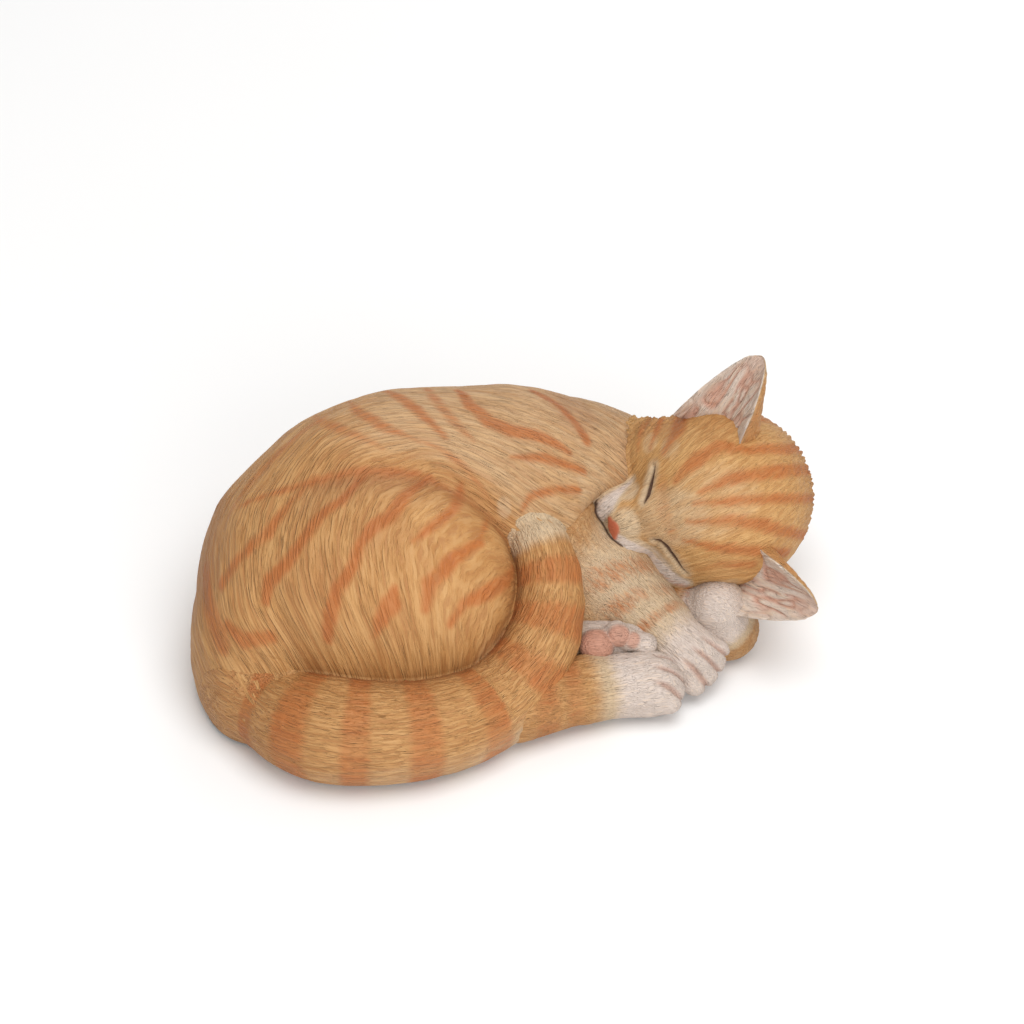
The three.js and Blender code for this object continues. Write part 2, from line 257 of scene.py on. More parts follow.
head = press(
    5,
    head_egg(-2.5, 5, 0, 32.7, 30.3, 33),
    head_egg(9, -9, 15, 18, 16, 18),
    head_egg(9, -9, -15, 18, 16, 18),
    head_egg(24, 2, 0, 10, 9, 8),
    head_egg(26, -8, 0, 12, 10, 11),
    head_egg(33.5, -14.5, 6, 8.3, 8.8, 7.6),
    head_egg(32.5, -13.5, -6, 8.3, 8.8, 7.6),
    head_egg(26, -20, 0, 8, 7, 8),
    head_egg(36, -5.5, 0, 4, 4, 5),
)


# ---- Seams: over how far a piece runs into its neighbour, from a crease to a smoothed fold ----
FLANK_CREASE, RUMP_FOLD = 2.5, 20
TAIL_CREASE, TAIL_ROOT_FOLD = 1.0, 18
CHEST_CREASE, NAPE_FOLD = 1.0, 12


def haunch_over(p):
    """The thigh runs into the rump behind, and lies on the flank in a crease in front."""
    return mix(RUMP_FOLD, FLANK_CREASE, ramp(p[:, 0], -98, -70))


def tail_over(p):
    """The tail grows out of the rump, and then lies against the haunch."""
    return mix(TAIL_ROOT_FOLD, TAIL_CREASE, ramp(p[:, 0], -104, -78))


def nape_over(p):
    """The nape runs into the shoulders, and the muzzle lies on the chest."""
    return mix(CHEST_CREASE, NAPE_FOLD, ramp(p[:, 1], 18, 34))


def haunch_tail_over(p):
    return np.maximum(haunch_over(p), tail_over(p))


def torso_over(p):
    return np.maximum(haunch_tail_over(p), nape_over(p))


def whole(p):
    body = softer(torso(p), haunch(p), haunch_over(p))
    body = softer(body, tail(p), tail_over(p))
    return softer(body, head(p), nape_over(p))


# ---- Fur: two lengths at each point, along the strands and across them ----
class Map:
    """A flat map of the skin round a heart: how far a point is from the middle direction, and which way."""

    def __init__(self, heart, middle, right):
        self.heart = np.array(heart, float)
        self.middle = middle
        self.right = unit(*(right - (right @ middle) * middle))
        self.up = np.cross(middle, self.right)

    def place(self, p):
        away = p - self.heart
        length = np.linalg.norm(away, axis=1)
        angle = np.arccos(np.clip(away @ self.middle / length, -1, 1))
        flat = np.stack((away @ self.right, away @ self.up), axis=1)
        return flat * (angle * length / np.maximum(np.linalg.norm(flat, axis=1), 1e-6))[:, None]


def from_slopes(x_slope, y_slope, step):
    """The height over a square grid whose slopes come nearest to those given."""

    def mirrored(slope, x_sign, y_sign):
        row = np.concatenate((slope, y_sign * slope[:, ::-1]), axis=1)
        return np.concatenate((row, x_sign * row[::-1]))

    x_wave = np.fft.fft2(mirrored(x_slope, -1, 1))
    y_wave = np.fft.fft2(mirrored(y_slope, 1, -1))
    turns = 2 * math.pi * np.fft.fftfreq(len(x_wave), step)
    across, along = np.meshgrid(turns, turns, indexing="ij")
    square = across**2 + along**2
    square[0, 0] = 1
    height = np.fft.ifft2(-1j * (across * x_wave + along * y_wave) / square).real
    return height[: len(x_slope), : len(x_slope)]


class Comb:
    """Fur combed over a map. Guides are x, y and the strands' direction there, in degrees."""

    REACH = 260  # half the map's side
    CELLS = 261
    SOFTNESS = 6  # distance within which a guide's pull levels off

    def __init__(self, guides):
        self.step = 2 * self.REACH / (self.CELLS - 1)
        line = np.linspace(-self.REACH, self.REACH, self.CELLS)
        x, y = np.meshgrid(line, line, indexing="ij")
        x_way, y_way = np.zeros_like(x), np.zeros_like(x)
        for guide_x, guide_y, degrees in guides:
            square = (x - guide_x) ** 2 + (y - guide_y) ** 2 + self.SOFTNESS**2
            x_way += math.cos(math.radians(degrees)) / square**1.5
            y_way += math.sin(math.radians(degrees)) / square**1.5
        length = np.hypot(x_way, y_way)
        x_way, y_way = x_way / length, y_way / length
        self.along = from_slopes(x_way, y_way, self.step)
        self.across = from_slopes(-y_way, x_way, self.step)

    def read(self, grid, flat):
        place = np.clip((flat + self.REACH) / self.step, 0, self.CELLS - 1.001)
        cell = place.astype(int)
        share = place - cell
        i, j = cell.T
        low = mix(grid[i, j], grid[i + 1, j], share[:, 0])
        high = mix(grid[i, j + 1], grid[i + 1, j + 1], share[:, 0])
        return mix(low, high, share[:, 1])

    def fur(self, flat):
        along, across = self.read(self.along, flat), self.read(self.across, flat)
        return np.stack((along, across, np.zeros(len(flat))), axis=1)


def grain(p, seed):
    """Smooth random values between 0 and 1, over a lattice of unit cells."""
    cell = np.floor(p).astype(np.int64)
    share = p - cell
    share = share * share * (3 - 2 * share)
    total = np.zeros(len(p))
    for corner in itertools.product((0, 1), repeat=3):
        x, y, z = (cell + corner).T
        value = (x * 73856093) ^ (y * 19349663) ^ (z * 83492791) ^ (seed * 2654435761)
        value = (value ^ (value >> 13)) * 1274126177
        value = ((value ^ (value >> 16)) & 0xFFFF) / 0xFFFF
        total += value * np.prod(np.where(corner, share, 1 - share), axis=1)
    return total


def engraving(fur, length, width, seed):
    """The crests and grooves of strands this long and this wide: 1 on a crest, 0 in a groove."""
    wander = grain(fur / (length, 4 * width, 4 * width), seed) - 0.5
    combed = fur + np.stack((0 * wander, wander, wander), axis=1) * 1.5 * width
    strand = grain(combed / (length, width, width), seed + 1)
    return np.clip(np.abs(strand - 0.5) * 5, 0, 1) ** 0.7


def tufts(fur, length, width, seed):
    """Overlapping tufts that rise along the strands and end in a step."""
    wander = grain(fur / (length, 2 * width, 1), seed) - 0.5
    across = fur[:, 1] / width + wander
    row = np.floor(across)
    shift = grain(np.stack((row + 0.5, row * 0 + 0.5, row * 0 + 0.5), axis=1) * 7.31, seed + 2) * 5
    rise = np.mod(fur[:, 0] / length + shift, 1)
    profile = 1 - (2 * (across - row) - 1) ** 2
    return (rise**1.5) * profile * (1 - ramp(rise, 0.88, 1))


BODY_MAP = Map((-38, -8, 22), unit(0, -0.55, 0.835), np.array((1.0, 0, 0)))
HEAD_MAP = Map(HEAD, unit(0.5, 0.85, 0) @ HEAD_AXES, unit(-0.85, 0.5, 0) @ HEAD_AXES)

# Far down the back and the sides the strands run level, round the body.
RING_GUIDES = tuple(
    (reach * math.cos(math.radians(turn)), reach * math.sin(math.radians(turn)), turn - 90)
    for reach in (150, 200, 250)
    for turn in range(-20, 201, 20)
)
BODY_COMB = Comb(
    (
        *RING_GUIDES, (-10, -20, 86), (9, 20, 52), (-20, 9, 70), (29, -5, 58), (35, -23, 55), (-26, -41, 98),
        (-8, -40, 104), (11, -35, 75), (-45, 4, 72), (-64, -12, 82), (-72, -20, 88), (-64, -42, 112),
        (-58, -46, 125), (-61, 26, 48), (-49, 41, 38), (-17, 56, 10), (-2, 71, -5), (14, 47, -28),
        (-2, 41, -12), (23, 36, -38), (27, 27, -45), (37, 17, -58), (47, 50, -28), (64, 48, -18),
        (83, 67, -30), (84, 38, -12), (52, 17, -50), (64, 23, -20), (81, 28, 10), (0, 110, 0),
        (-80, 60, 50), (60, 110, -10), (110, 60, -60),
    )
)  # fmt: skip
HEAD_COMB = Comb(
    (
        (-19, 8, 20), (-4, 5, 5), (15, -3, 0), (29, -6, 0), (36, 5, 5), (-8, 29, 60), (-6, 45, 65),
        (2, 20, 30), (-9, 14, 35), (-16, 24, 65), (-30, 39, 88), (-34, 28, 92), (-27, 61, 80),
        (-45, 8, 60), (-47, -12, -60), (-14, -13, -15), (-3, -18, -10), (8, -21, -15), (27, -29, -10),
        (-21, -27, -40), (-10, -30, -45), (-31, -20, -55), (-2, -35, -75), (20, 30, 25), (35, 40, 30),
        (45, 0, 0), (60, -30, -20),
    )
)  # fmt: skip


# ---- Paint: fields from 0 to 1 over the skin ----
STRIPE_EDGE = 2.6  # over which a stripe fades out


def stroke_distance(flat, line):
    """Distance from a brush stroke, drawn through x, y and half width, past its edge."""
    nearest = np.full(len(flat), 1e3)
    for (ax, ay, aw), (bx, by, bw) in zip(line[:-1], line[1:]):
        along = np.array((bx - ax, by - ay), float)
        away = flat - (ax, ay)
        share = np.clip(away @ along / (along @ along), 0, 1)
        length = np.linalg.norm(away - share[:, None] * along, axis=1)
        nearest = np.minimum(nearest, length - mix(aw, bw, share))
    return nearest


def brushed(flat, strokes, edge=STRIPE_EDGE):
    """1 inside the brush strokes, fading to 0 over the edge."""
    paint = np.zeros(len(flat))
    for strength, line in strokes:
        paint = np.maximum(paint, strength * ramp(stroke_distance(flat, line), edge, -edge))
    return paint


def blots(flat, places):
    """Soft round patches, each x, y, reach in x, reach in y and strength."""
    paint = np.zeros(len(flat))
    for x, y, x_reach, y_reach, strength in places:
        away = np.hypot((flat[:, 0] - x) / x_reach, (flat[:, 1] - y) / y_reach)
        paint = np.maximum(paint, strength * ramp(away, 1.25, 0.6))
    return paint


BODY_STRIPES = (
    (1.0, ((11, 22, 1.5), (3, 11, 2.5), (-2, 2, 2.5), (-9, -3, 2.5), (-13, -9, 2), (-15, -17, 2),
           (-21, -24, 2.5), (-24, -33, 3), (-26, -42, 2))),
    (1.0, ((-10, 24, 1), (-20, 9, 2), (-28, 3, 2.5), (-34, -6, 2.5), (-41, -15, 2.5), (-48, -20, 3),
           (-51, -28, 2))),
    (0.8, ((-32, 22, 1), (-45, 4, 2.5), (-49, -1, 3), (-64, -12, 2.5), (-72, -20, 3))),
    (0.9, ((24, 22, 1), (22, 14, 3), (21, 8, 2), (15, 1, 2), (6, -7, 1))),
    (0.9, ((34, 8, 1), (30, -4, 2), (19, -14, 3), (12, -22, 3), (11, -31, 1.5))),
    (1.0, ((46, -10, 1.5), (42, -17, 3), (34, -23, 3), (25, -28, 2), (20, -36, 1))),
    (0.9, ((0, -24, 1), (-2, -30, 4), (-6, -36, 3), (-8, -41, 1.5))),
    (0.8, ((-70, -38, 3), (-62, -44, 4), (-50, -42, 3))),
    (0.7, ((-84, -10, 3), (-80, -30, 5), (-74, -46, 5))),
    (0.9, ((27, 80, 2), (31, 64, 4), (38, 54, 4), (47, 50, 4), (64, 48, 3.5), (76, 44, 2))),
    (0.9, ((46, 36, 1), (63, 38, 3), (84, 37, 2.5))),
    (0.9, ((50, 14, 1), (54, 20, 1.8), (64, 24, 2.2), (80, 27, 2))),
    (0.9, ((66, 84, 3), (78, 72, 3), (88, 54, 3))),
    (0.7, ((-24, 72, 1), (-17, 56, 3), (-6, 45, 3), (8, 38, 1))),
    (0.6, ((-40, 66, 1), (-34, 54, 3), (-22, 44, 3), (-6, 34, 1))),
    (0.8, ((-8, 82, 2), (-2, 71, 3), (8, 56, 3), (18, 42, 1.5))),
    (0.6, ((12, 84, 2), (15, 68, 3), (22, 52, 3), (30, 42, 1))),
    (0.6, ((6, 40, 1), (19, 34, 2), (28, 26, 2), (36, 16, 1))),
    (0.6, ((-70, 10, 1), (-61, 26, 2.5), (-49, 41, 3), (-32, 58, 1.5))),
    (0.8, ((-64, 13, 1), (-40, 18, 2.2), (-16, 23, 2.5), (6, 23, 2), (18, 19, 1))),
    (0.7, ((-40, 75, 2), (-30, 100, 5), (-25, 125, 6))),
    (0.7, ((5, 85, 2), (12, 105, 5), (15, 130, 6))),
    (0.7, ((45, 92, 2), (52, 110, 5), (55, 135, 5))),
    (0.6, ((-80, 40, 2), (-95, 65, 5), (-95, 90, 5))),
)  # fmt: skip
HEAD_STRIPES = (
    (1.0, ((-6, 4, 1), (6, 7, 2.6), (22, 6, 3.2), (36, 5, 3), (60, 4, 3))),
    (1.0, ((-9, 1, 1), (4, -1, 2), (15, -3, 2), (29, -6, 2.5), (55, -12, 2.5))),
    (1.0, ((-13, -5, 1), (2, -8, 2.4), (13, -12, 3), (25, -19, 2.8), (45, -30, 3))),
    (1.0, ((-16, -12, 1), (-3, -18, 2.4), (8, -22, 2.8), (27, -31, 3))),
    (1.0, ((-14, 11, 1.5), (-4, 17, 3.2), (6, 20, 3), (16, 16, 2.2), (34, 15, 3), (55, 16, 3))),
    (0.8, ((-14, -27, 1), (-4, -25, 2), (8, -29, 3))),
    (0.45, ((-19, 12, 3), (-22, 1, 3.5), (-20, -9, 3))),
    (0.7, ((-27, 61, 3), (-30, 45, 3), (-31, 32, 1.5))),
    (0.9, ((-6, 48, 5), (-9, 34, 4), (-17, 24, 1.5))),
    (0.9, ((-18, 52, 2.5), (-20, 40, 2.5), (-24, 30, 1))),
    (0.8, ((18, 33, 3), (35, 34, 4), (55, 35, 4))),
    (0.7, ((-35, -30, 1), (-27, -38, 2.5), (-14, -45, 2))),
)  # fmt: skip
UPPER_EYE = ((-22.5, 20, 0), (-23.5, 17, 0.3), (-25.5, 13, 0.8), (-27.5, 9, 0.8), (-30, 6.3, 0.1))
LOWER_EYE = (
    (-30.5, -11, 0), (-27, -12, 0.5), (-25, -14.5, 0.8), (-23, -20, 0.6), (-21.5, -26, 0.2), (-20, -29, 0),
)  # fmt: skip
NOSE_PATCH = ((-50, -6.2, 1.5), (-49, -2, 3.8), (-50, 2.2, 1.5))


def eye_distance(flat):
    return np.minimum(stroke_distance(flat, UPPER_EYE), stroke_distance(flat, LOWER_EYE))


# ---- Skins ----
FINE = 1.0
SLIDES = 26  # steps from the heart out to the skin
SETTLES = 10  # more steps, on to where the skin lies in the whole
NO_LINE = 20.0  # a distance in millimetres that means no painted line is near


def faces(count):
    return max(8, int(count * FINE))


def slide(mass, start, way, gone=0.0, steps=SLIDES):
    """How far each way runs from its start out to the skin."""
    gone = np.zeros(len(start)) + gone
    for _ in range(steps):
        gone -= mass(start + gone[:, None] * way)
    return gone


class Skin:
    """A closed mesh on its way to become a piece. Places are layout millimetres, until it is finished."""

    def __init__(self, name, shape):
        self.name = name
        self.mesh = bpy.data.meshes.new(name)
        shape.to_mesh(self.mesh)
        shape.free()
        self.count = len(self.mesh.vertices)
        self.start = self.read()
        self.place = self.start

    def turn_out(self):
        """Turns the faces outwards, if the shaping has turned them in."""
        self.write()
        shape = bmesh.new()
        shape.from_mesh(self.mesh)
        if shape.calc_volume(signed=True) < 0:
            self.mesh.flip_normals()
        shape.free()

    def read(self):
        flat = np.empty(self.count * 3)
        self.mesh.vertices.foreach_get("co", flat)
        return flat.reshape(-1, 3)

    def write(self):
        self.mesh.vertices.foreach_set("co", self.place.ravel())
        self.mesh.update()

    def normals(self):
        self.write()
        flat = np.empty(self.count * 3)
        self.mesh.vertex_normals.foreach_get("vector", flat)
        return flat.reshape(-1, 3)

    def pull(self, mass, whole_mass, start, way):
        """Slides every vertex out to the mass, then on to where it lies in the whole."""
        gone = slide(mass, start, way)
        gone = slide(whole_mass, start, way, gone, SETTLES)
        self.place = start + np.maximum(gone, 0)[:, None] * way
        self.turn_out()

    def swell(self, height):
        """Moves every vertex out by that height, except on the flat underside."""
        self.place = self.place + self.normals() * (height * ramp(self.place[:, 2], BASE, BASE + 3))[:, None]

    def stand(self):
        """Cuts the underside flat."""
        self.place[:, 2] = np.maximum(self.place[:, 2], BASE)

    def attribute(self, name, *columns):
        made = self.mesh.attributes.new(name, "FLOAT_VECTOR", "POINT")
        made.data.foreach_set("vector", np.column_stack(columns).ravel())

    def paint(self, fur, stripe, cream, wash, pink=0.0, line=NO_LINE, nose=0.0):
        """Leaves the lie of the fur and the paint's fields on the mesh, for its material to read."""
        plain = np.zeros(self.count)
        self.attribute("fur", *fur.T)
        self.attribute("paint", stripe, cream, plain + pink)
        self.attribute("mark", plain + line, wash, plain + nose)

    def finish(self, material, slot, *nodes):
        """Makes the piece: in metres, in the frame, in place of its CAD nodes."""
        self.place = self.place * STRETCH + ORIGIN
        self.write()
        self.mesh.polygons.foreach_set("use_smooth", [True] * len(self.mesh.polygons))
        self.mesh.materials.append(material)
        piece = bpy.data.objects.new(self.name, self.mesh)
        bpy.context.scene.collection.objects.link(piece)
        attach(piece, "root")
        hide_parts(*nodes)
        return piece


def ball(name, heart, mass, whole_mass, count, lift=(0, 0, 0)):
    """A round skin, blown out from a cube in the heart with count by count faces a side.

    Lift turns its faces upwards, so that more of them lie where they are seen.
    """
    shape = bmesh.new()
    bmesh.ops.create_cube(shape, size=2)
    bmesh.ops.subdivide_edges(shape, edges=shape.edges[:], cuts=faces(count) - 1, use_grid_fill=True)
    skin = Skin(name, shape)
    way = np.tan(skin.start * math.pi / 4)
    way /= np.linalg.norm(way, axis=1)[:, None]
    way = way + lift
    way /= np.linalg.norm(way, axis=1)[:, None]
    skin.pull(mass, whole_mass, np.tile(np.array(heart, float), (skin.count, 1)), way)
    return skin


CAP = 0.12  # share of a sleeve's rings that close each of its ends


def sleeve(name, line, mass, whole_mass, around, rings):
    """A long skin with round ends, blown out from a line, and its fur, which runs along the line."""
    shape = bmesh.new()
    bmesh.ops.create_uvsphere(shape, u_segments=faces(around), v_segments=faces(rings), radius=1)
    skin = Skin(name, shape)
    x, y, z = skin.start.T
    course = 1 - np.arccos(np.clip(z, -1, 1)) / math.pi
    share = np.clip((course - CAP) / (1 - 2 * CAP), 0, 1)
    lean = (np.clip((course - 1 + CAP) / CAP, 0, 1) - 1 + np.clip(course / CAP, 0, 1)) * math.pi / 2
    ring = np.maximum(np.hypot(x, y), 1e-9)
    start = line(share)
    tangent = line(np.minimum(share + 0.002, 1)) - line(np.maximum(share - 0.002, 0))
    tangent /= np.linalg.norm(tangent, axis=1)[:, None]
    aside = np.cross(tangent, (0, 0, 1.0))
    aside /= np.linalg.norm(aside, axis=1)[:, None]
    over = np.cross(tangent, aside)
    turn = (x / ring)[:, None] * aside + (y / ring)[:, None] * over
    turn[np.hypot(x, y) < 1e-6] = 0
    way = turn * np.cos(lean)[:, None] + tangent * np.sin(lean)[:, None]
    way /= np.linalg.norm(way, axis=1)[:, None]
    skin.pull(mass, whole_mass, start, way)
    steps = np.linspace(0, 1, 200)
    lengths = np.linalg.norm(np.diff(line(steps), axis=0), axis=1)
    run = np.interp(share, steps, np.concatenate(((0,), np.cumsum(lengths))))
    away = skin.place - start
    fur = np.column_stack([np.sum(away * direction, axis=1) for direction in (tangent, aside, over)])
    fur[:, 0] += run
    return skin, fur


def straight(a, b):
    a, b = np.array(a, float), np.array(b, float)
    return lambda share: a + np.asarray(share)[:, None] * (b - a)


HIDDEN_MARGIN = 0.5  # width of a piece's rim that lies hidden under its neighbour


def part_of_whole(own, over, inset):
    """The share of the whole's skin that this mass makes. Of two skins in one place, the less inset shows."""

    def mass(p):
        return np.maximum(whole(p) + inset, own(p) - over(p) / 2 - HIDDEN_MARGIN)

    return mass


def depth(name):
    """A depth from the settings, in layout millimetres."""
    return getattr(bpy.context.scene.kitten_fur, name) / MM


LOCK, STRAND = (15, 3.4), (8, 1.5)  # length and width
MEAN_CREST = 0.75


def fur_relief(fur, seed=3):
    """Locks of fur with strands engraved in them, as a height that averages about zero."""
    locks = engraving(fur, *LOCK, seed) - MEAN_CREST
    strands = engraving(fur, *STRAND, seed + 10) - MEAN_CREST
    return depth("lock") * locks + depth("strand") * strands


# ---- Torso, haunch and tail ----
BODY_CREAM = (
    (42, 15, 4, 5, 0.5), (90, 30, 14, 20, 0.5), (45, 62, 30, 22, 0.3), (0, 62, 40, 18, 0.3),
    (-45, 60, 26, 22, 0.2), (60, -60, 30, 30, 0.5),
)  # fmt: skip
BODY_WASH = (
    (-92, 10, 20, 45, 0.5), (-5, -2, 12, 9, 0.25), (-30, -20, 14, 12, 0.25), (85, 75, 15, 20, 0.5),
    (45, -14, 8, 12, 0.4),
)  # fmt: skip
BACK_CREAM = 0.4
# Where the painted shadow in the chin crease lies, and how far it reaches.
CHIN_SHADOW_MIDDLE = (35, -7, 42)
CHIN_SHADOW_REACH = 15
CHIN_SHADOW_FADE = 3
TORSO_HEART = (-25, 0, 26)
TORSO_INSET, TAIL_INSET, HAUNCH_INSET = 0.45, 0.3, 0.15
TAIL_RINGS = (
    (0.04, 0.02), (0.13, 0.028), (0.23, 0.026), (0.35, 0.03), (0.48, 0.03), (0.63, 0.034),
    (0.74, 0.032), (0.83, 0.026),
)  # middle and half width, as shares of the tail's length  # fmt: skip


def back_fade(p):
    """The back and the chest are paler than the haunch and the rump."""
    along = ramp(p[:, 0], -85, -35) * mix(1, 0.5, ramp(p[:, 0], 50, 85))
    return BACK_CREAM * ramp(haunch(p), 1, 14) * along


# Painted shade in the crease where the muzzle lies on the chest.
def chin_crease_shade(p):
    return np.exp(-np.abs(torso(p) - head(p)) / 2) * ramp(p[:, 1], 34, 20)


def flank_crease(p):
    return np.exp(-np.abs(torso(p) - haunch(p)) / 3.5) * ramp(p[:, 0], -80, -60)


def chin_shadow_distance(p):
    """A painted shadow: a dark line in the crease where the muzzle meets the chest and the foreleg."""
    away = np.linalg.norm(p - np.array(CHIN_SHADOW_MIDDLE), axis=1)
    bed = np.minimum(torso(p), arm_in_chest(p))
    return np.abs(bed - head(p)) * 0.7 + NO_LINE * ramp(away, CHIN_SHADOW_REACH - CHIN_SHADOW_FADE, CHIN_SHADOW_REACH)


def body_paint(p):
    """Stripes, cream and wash on the torso and the haunch, and painted shade in the chin crease."""
    flat = BODY_MAP.place(p)
    stripe = brushed(flat, BODY_STRIPES)
    cream = np.maximum(blots(flat, BODY_CREAM), back_fade(p))
    wash = np.maximum(flank_crease(p), blots(flat, BODY_WASH))
    return stripe, cream, np.maximum(wash, chin_crease_shade(p))


def make_body(name, heart, mass, over, inset, count, lift, node, material):
    skin = ball(name, heart, mass, part_of_whole(mass, over, inset), count, (0, 0, lift))
    skin.stand()
    p = skin.place
    fur = BODY_COMB.fur(BODY_MAP.place(p))
    skin.swell(fur_relief(fur))
    skin.stand()
    # The line here is the painted shadow in the chin crease.
    skin.paint(fur, *body_paint(p), line=chin_shadow_distance(p))
    skin.finish(material, "ginger_fur", node)


# Name, heart, mass, the seam over it, inset, faces a side, lift and CAD node.
BODY_PIECES = (
    ("torso_casting", TORSO_HEART, torso, torso_over, TORSO_INSET, 126, 0.35, "torso_shell"),
    ("haunch_casting", HAUNCH_HEART, haunch, haunch_tail_over, HAUNCH_INSET, 120, 0.3, "haunch_shell"),
)


def tail_paint(p, share):
    """Rings, a pale underside and tip, and a wash at the root and where the tail lies on the haunch."""
    stripe = np.zeros(len(p))
    for middle, half in TAIL_RINGS:
        stripe = np.maximum(stripe, ramp(np.abs(share - middle), half * 1.5, half * 0.5))
    stripe *= mix(0.5, 0.9, grain(p / 13, 77))
    low = ramp(p[:, 2], 26, 8)
    underside = low * np.maximum(0.6 * ramp(share, 0.3, 0.5), 0.35 * ramp(share, 0.08, 0.25))
    cream = np.maximum(ramp(share, 0.865, 0.905), underside)
    crease = np.exp(-np.abs(tail(p) - haunch(p)) / 3) * ramp(share, 0.06, 0.16)
    return stripe, cream, np.maximum(crease, 0.35 * ramp(share, 0.2, 0.05))


def make_tail(material):
    skin, fur = sleeve("tail_casting", tail_line, tail, part_of_whole(tail, tail_over, TAIL_INSET), 150, 560)
    skin.stand()
    p = skin.place
    share = np.clip(fur[:, 0] / fur[:, 0].max(), 0, 1)
    skin.swell(fur_relief(fur, seed=31))
    skin.stand()
    skin.paint(fur, *tail_paint(p, share))
    skin.finish(material, "ginger_fur", "tail")


# ---- Head ----
HEAD_CREAM = (
    (-60, 0, 9, 24, 1.2), (-42, -2, 10, 9, 0.75), (-38, 13, 7, 5, 0.7), (-24, 34, 5, 7, 0.4),
    (-8, -42, 14, 8, 0.5), (-50, 9, 6, 6, 1.4), (-4, 0, 22, 16, 0.3), (-20, -3, 20, 14, 0.5),
    (80, 0, 24, 80, 0.45), (-14, 26, 5, 7, 0.35), (-28, -26, 12, 12, 0.6),
)  # fmt: skip
HEAD_WASH = ((58, 0, 22, 60, 0.35), (-12, 44, 10, 14, 0.5), (-26, 52, 8, 14, 0.5), (10, 30, 14, 8, 0.3))
CHEEK_CREAM = (
    (2.0, ((-50, -9, 6), (-43, -18, 8), (-34, -28, 7), (-24, -36, 4.5))),
    (1.9, ((-56, 7, 6), (-50, 10, 5.5), (-44, 14, 3.5), (-36, 19, 1))),
    (1.5, ((-40, -10, 1.5), (-32, -17, 2.5), (-27, -26, 3))),
)
CHEEK_EDGE = 3
LID_SWELL = 0.4
LID_CREAM = 0.75
NOSE_SWELL = 0.5
FACE_RELIEF = 0.3  # share of the fur's relief that the face has
HEAD_FINENESS = 1.5  # the head's strands are finer than the body's by this much
TUFT, TUFT_HEIGHT, TUFT_SINK = (10, 4), 1.9, 0.5


def head_relief(flat, fur, forward, eyes, nose):
    """Short fur on the face with tufts behind it, the cut of the eyes between their lids, and the nose."""
    relief = fur_relief(fur, seed=57) * mix(1.0, FACE_RELIEF, ramp(forward, 6, 22))
    fluffy = np.clip(ramp(flat[:, 0], 34, 58) + ramp(flat[:, 1], 36, 50), 0, 1)
    relief += fluffy * (TUFT_HEIGHT * tufts(fur, *TUFT, 71) - TUFT_SINK)
    relief -= depth("eye") * np.exp(-((eyes / 0.75) ** 2))
    relief += LID_SWELL * np.exp(-(((eyes - 2.8) / 2.2) ** 2))
    return relief + NOSE_SWELL * nose


def head_paint(p, flat, eyes):
    """Stripes, cream and wash on the head, and painted shade in the chin crease."""
    stripe = 0.85 * brushed(flat, HEAD_STRIPES)
    cream = np.maximum(blots(flat, HEAD_CREAM), brushed(flat, CHEEK_CREAM, CHEEK_EDGE))
    cream = np.maximum(cream, LID_CREAM * np.exp(-(((eyes - 0.8) / 2.6) ** 2)))
    return stripe, cream, np.maximum(blots(flat, HEAD_WASH), 0.4 * chin_crease_shade(p))


def make_head(material):
    skin = ball("head_casting", HEAD, head, part_of_whole(head, nape_over, 0.0), 124)
    p = skin.place
    forward = (p - HEAD) @ NOSE
    flat = HEAD_MAP.place(p)
    fur = HEAD_COMB.fur(flat) * HEAD_FINENESS
    eyes = eye_distance(flat)
    nose = ramp(stroke_distance(flat, NOSE_PATCH), 0.5, -0.5) * ramp(forward, 28, 32)
    # The line paints the closed eyes, and the shadow in the chin crease.
    line = np.clip(np.minimum(eyes, chin_shadow_distance(p)), -1, NO_LINE)
    skin.swell(head_relief(flat, fur, forward, eyes, nose))
    skin.stand()
    skin.paint(fur, *head_paint(p, flat, eyes), line=line, nose=nose)
    skin.finish(material, "ginger_fur", "head_shell")


# ---- Ears: a cupped leaf, furry behind and bare in front ----
EAR_ROOT = 7  # length that is hidden in the skull
EAR_HALF = 16.5  # half of its width at the root
EAR_CUP = 9  # how far the side edges curl forward at the root
EAR_UNCURL = 0.45  # share of that curl that is gone at the tip
EAR_FULLNESS = 1.5  # above 1 the ear keeps its width for longer
EAR_TAPER = 0.62  # below 1 its sides bulge outwards
EAR_ROUND = 3.2  # half width of the round tip
EAR_OUTWARD = 7.0  # how far the fleshy back leans to the outer side at the root
EAR_LIP = 1.4  # thickness of the rim in front
EAR_THIN = 0.2  # and of the front inside it
EAR_SHUTS = (0.06, 0.08)  # shares of its length over which it rounds shut, at the root and at the tip
EAR_TIP_BACK = 1.6  # thickness of the back at the tip
EAR_HAIR, EAR_FUR = (12, 2.2), (9, 1.8)  # length and width of the strands in front and behind
MEAN_HAIR = 0.7


def ear_directions(side, base):
    """Where the ear's root is, and its directions: aside, up and to the front."""
    root, tip = on_head(1, 14, side * base), on_head(-4, 48, side * 48)
    width = on_head(5, 5, side * 36) - on_head(-3, 26, side * 20.5)
    up = unit(*(tip - root))
    front = unit(*(side * np.cross(up, width)))
    return root, np.array((np.cross(up, front), up, front))


def ear_half_width(rise, outward, inner):
    """At each height, for the outer side, and as a share of it for the inner side."""
    half = EAR_HALF * np.maximum((1 - rise**EAR_FULLNESS) ** EAR_TAPER, 0.05)
    return np.hypot(half * np.where(outward > 0, 1, inner), EAR_ROUND)


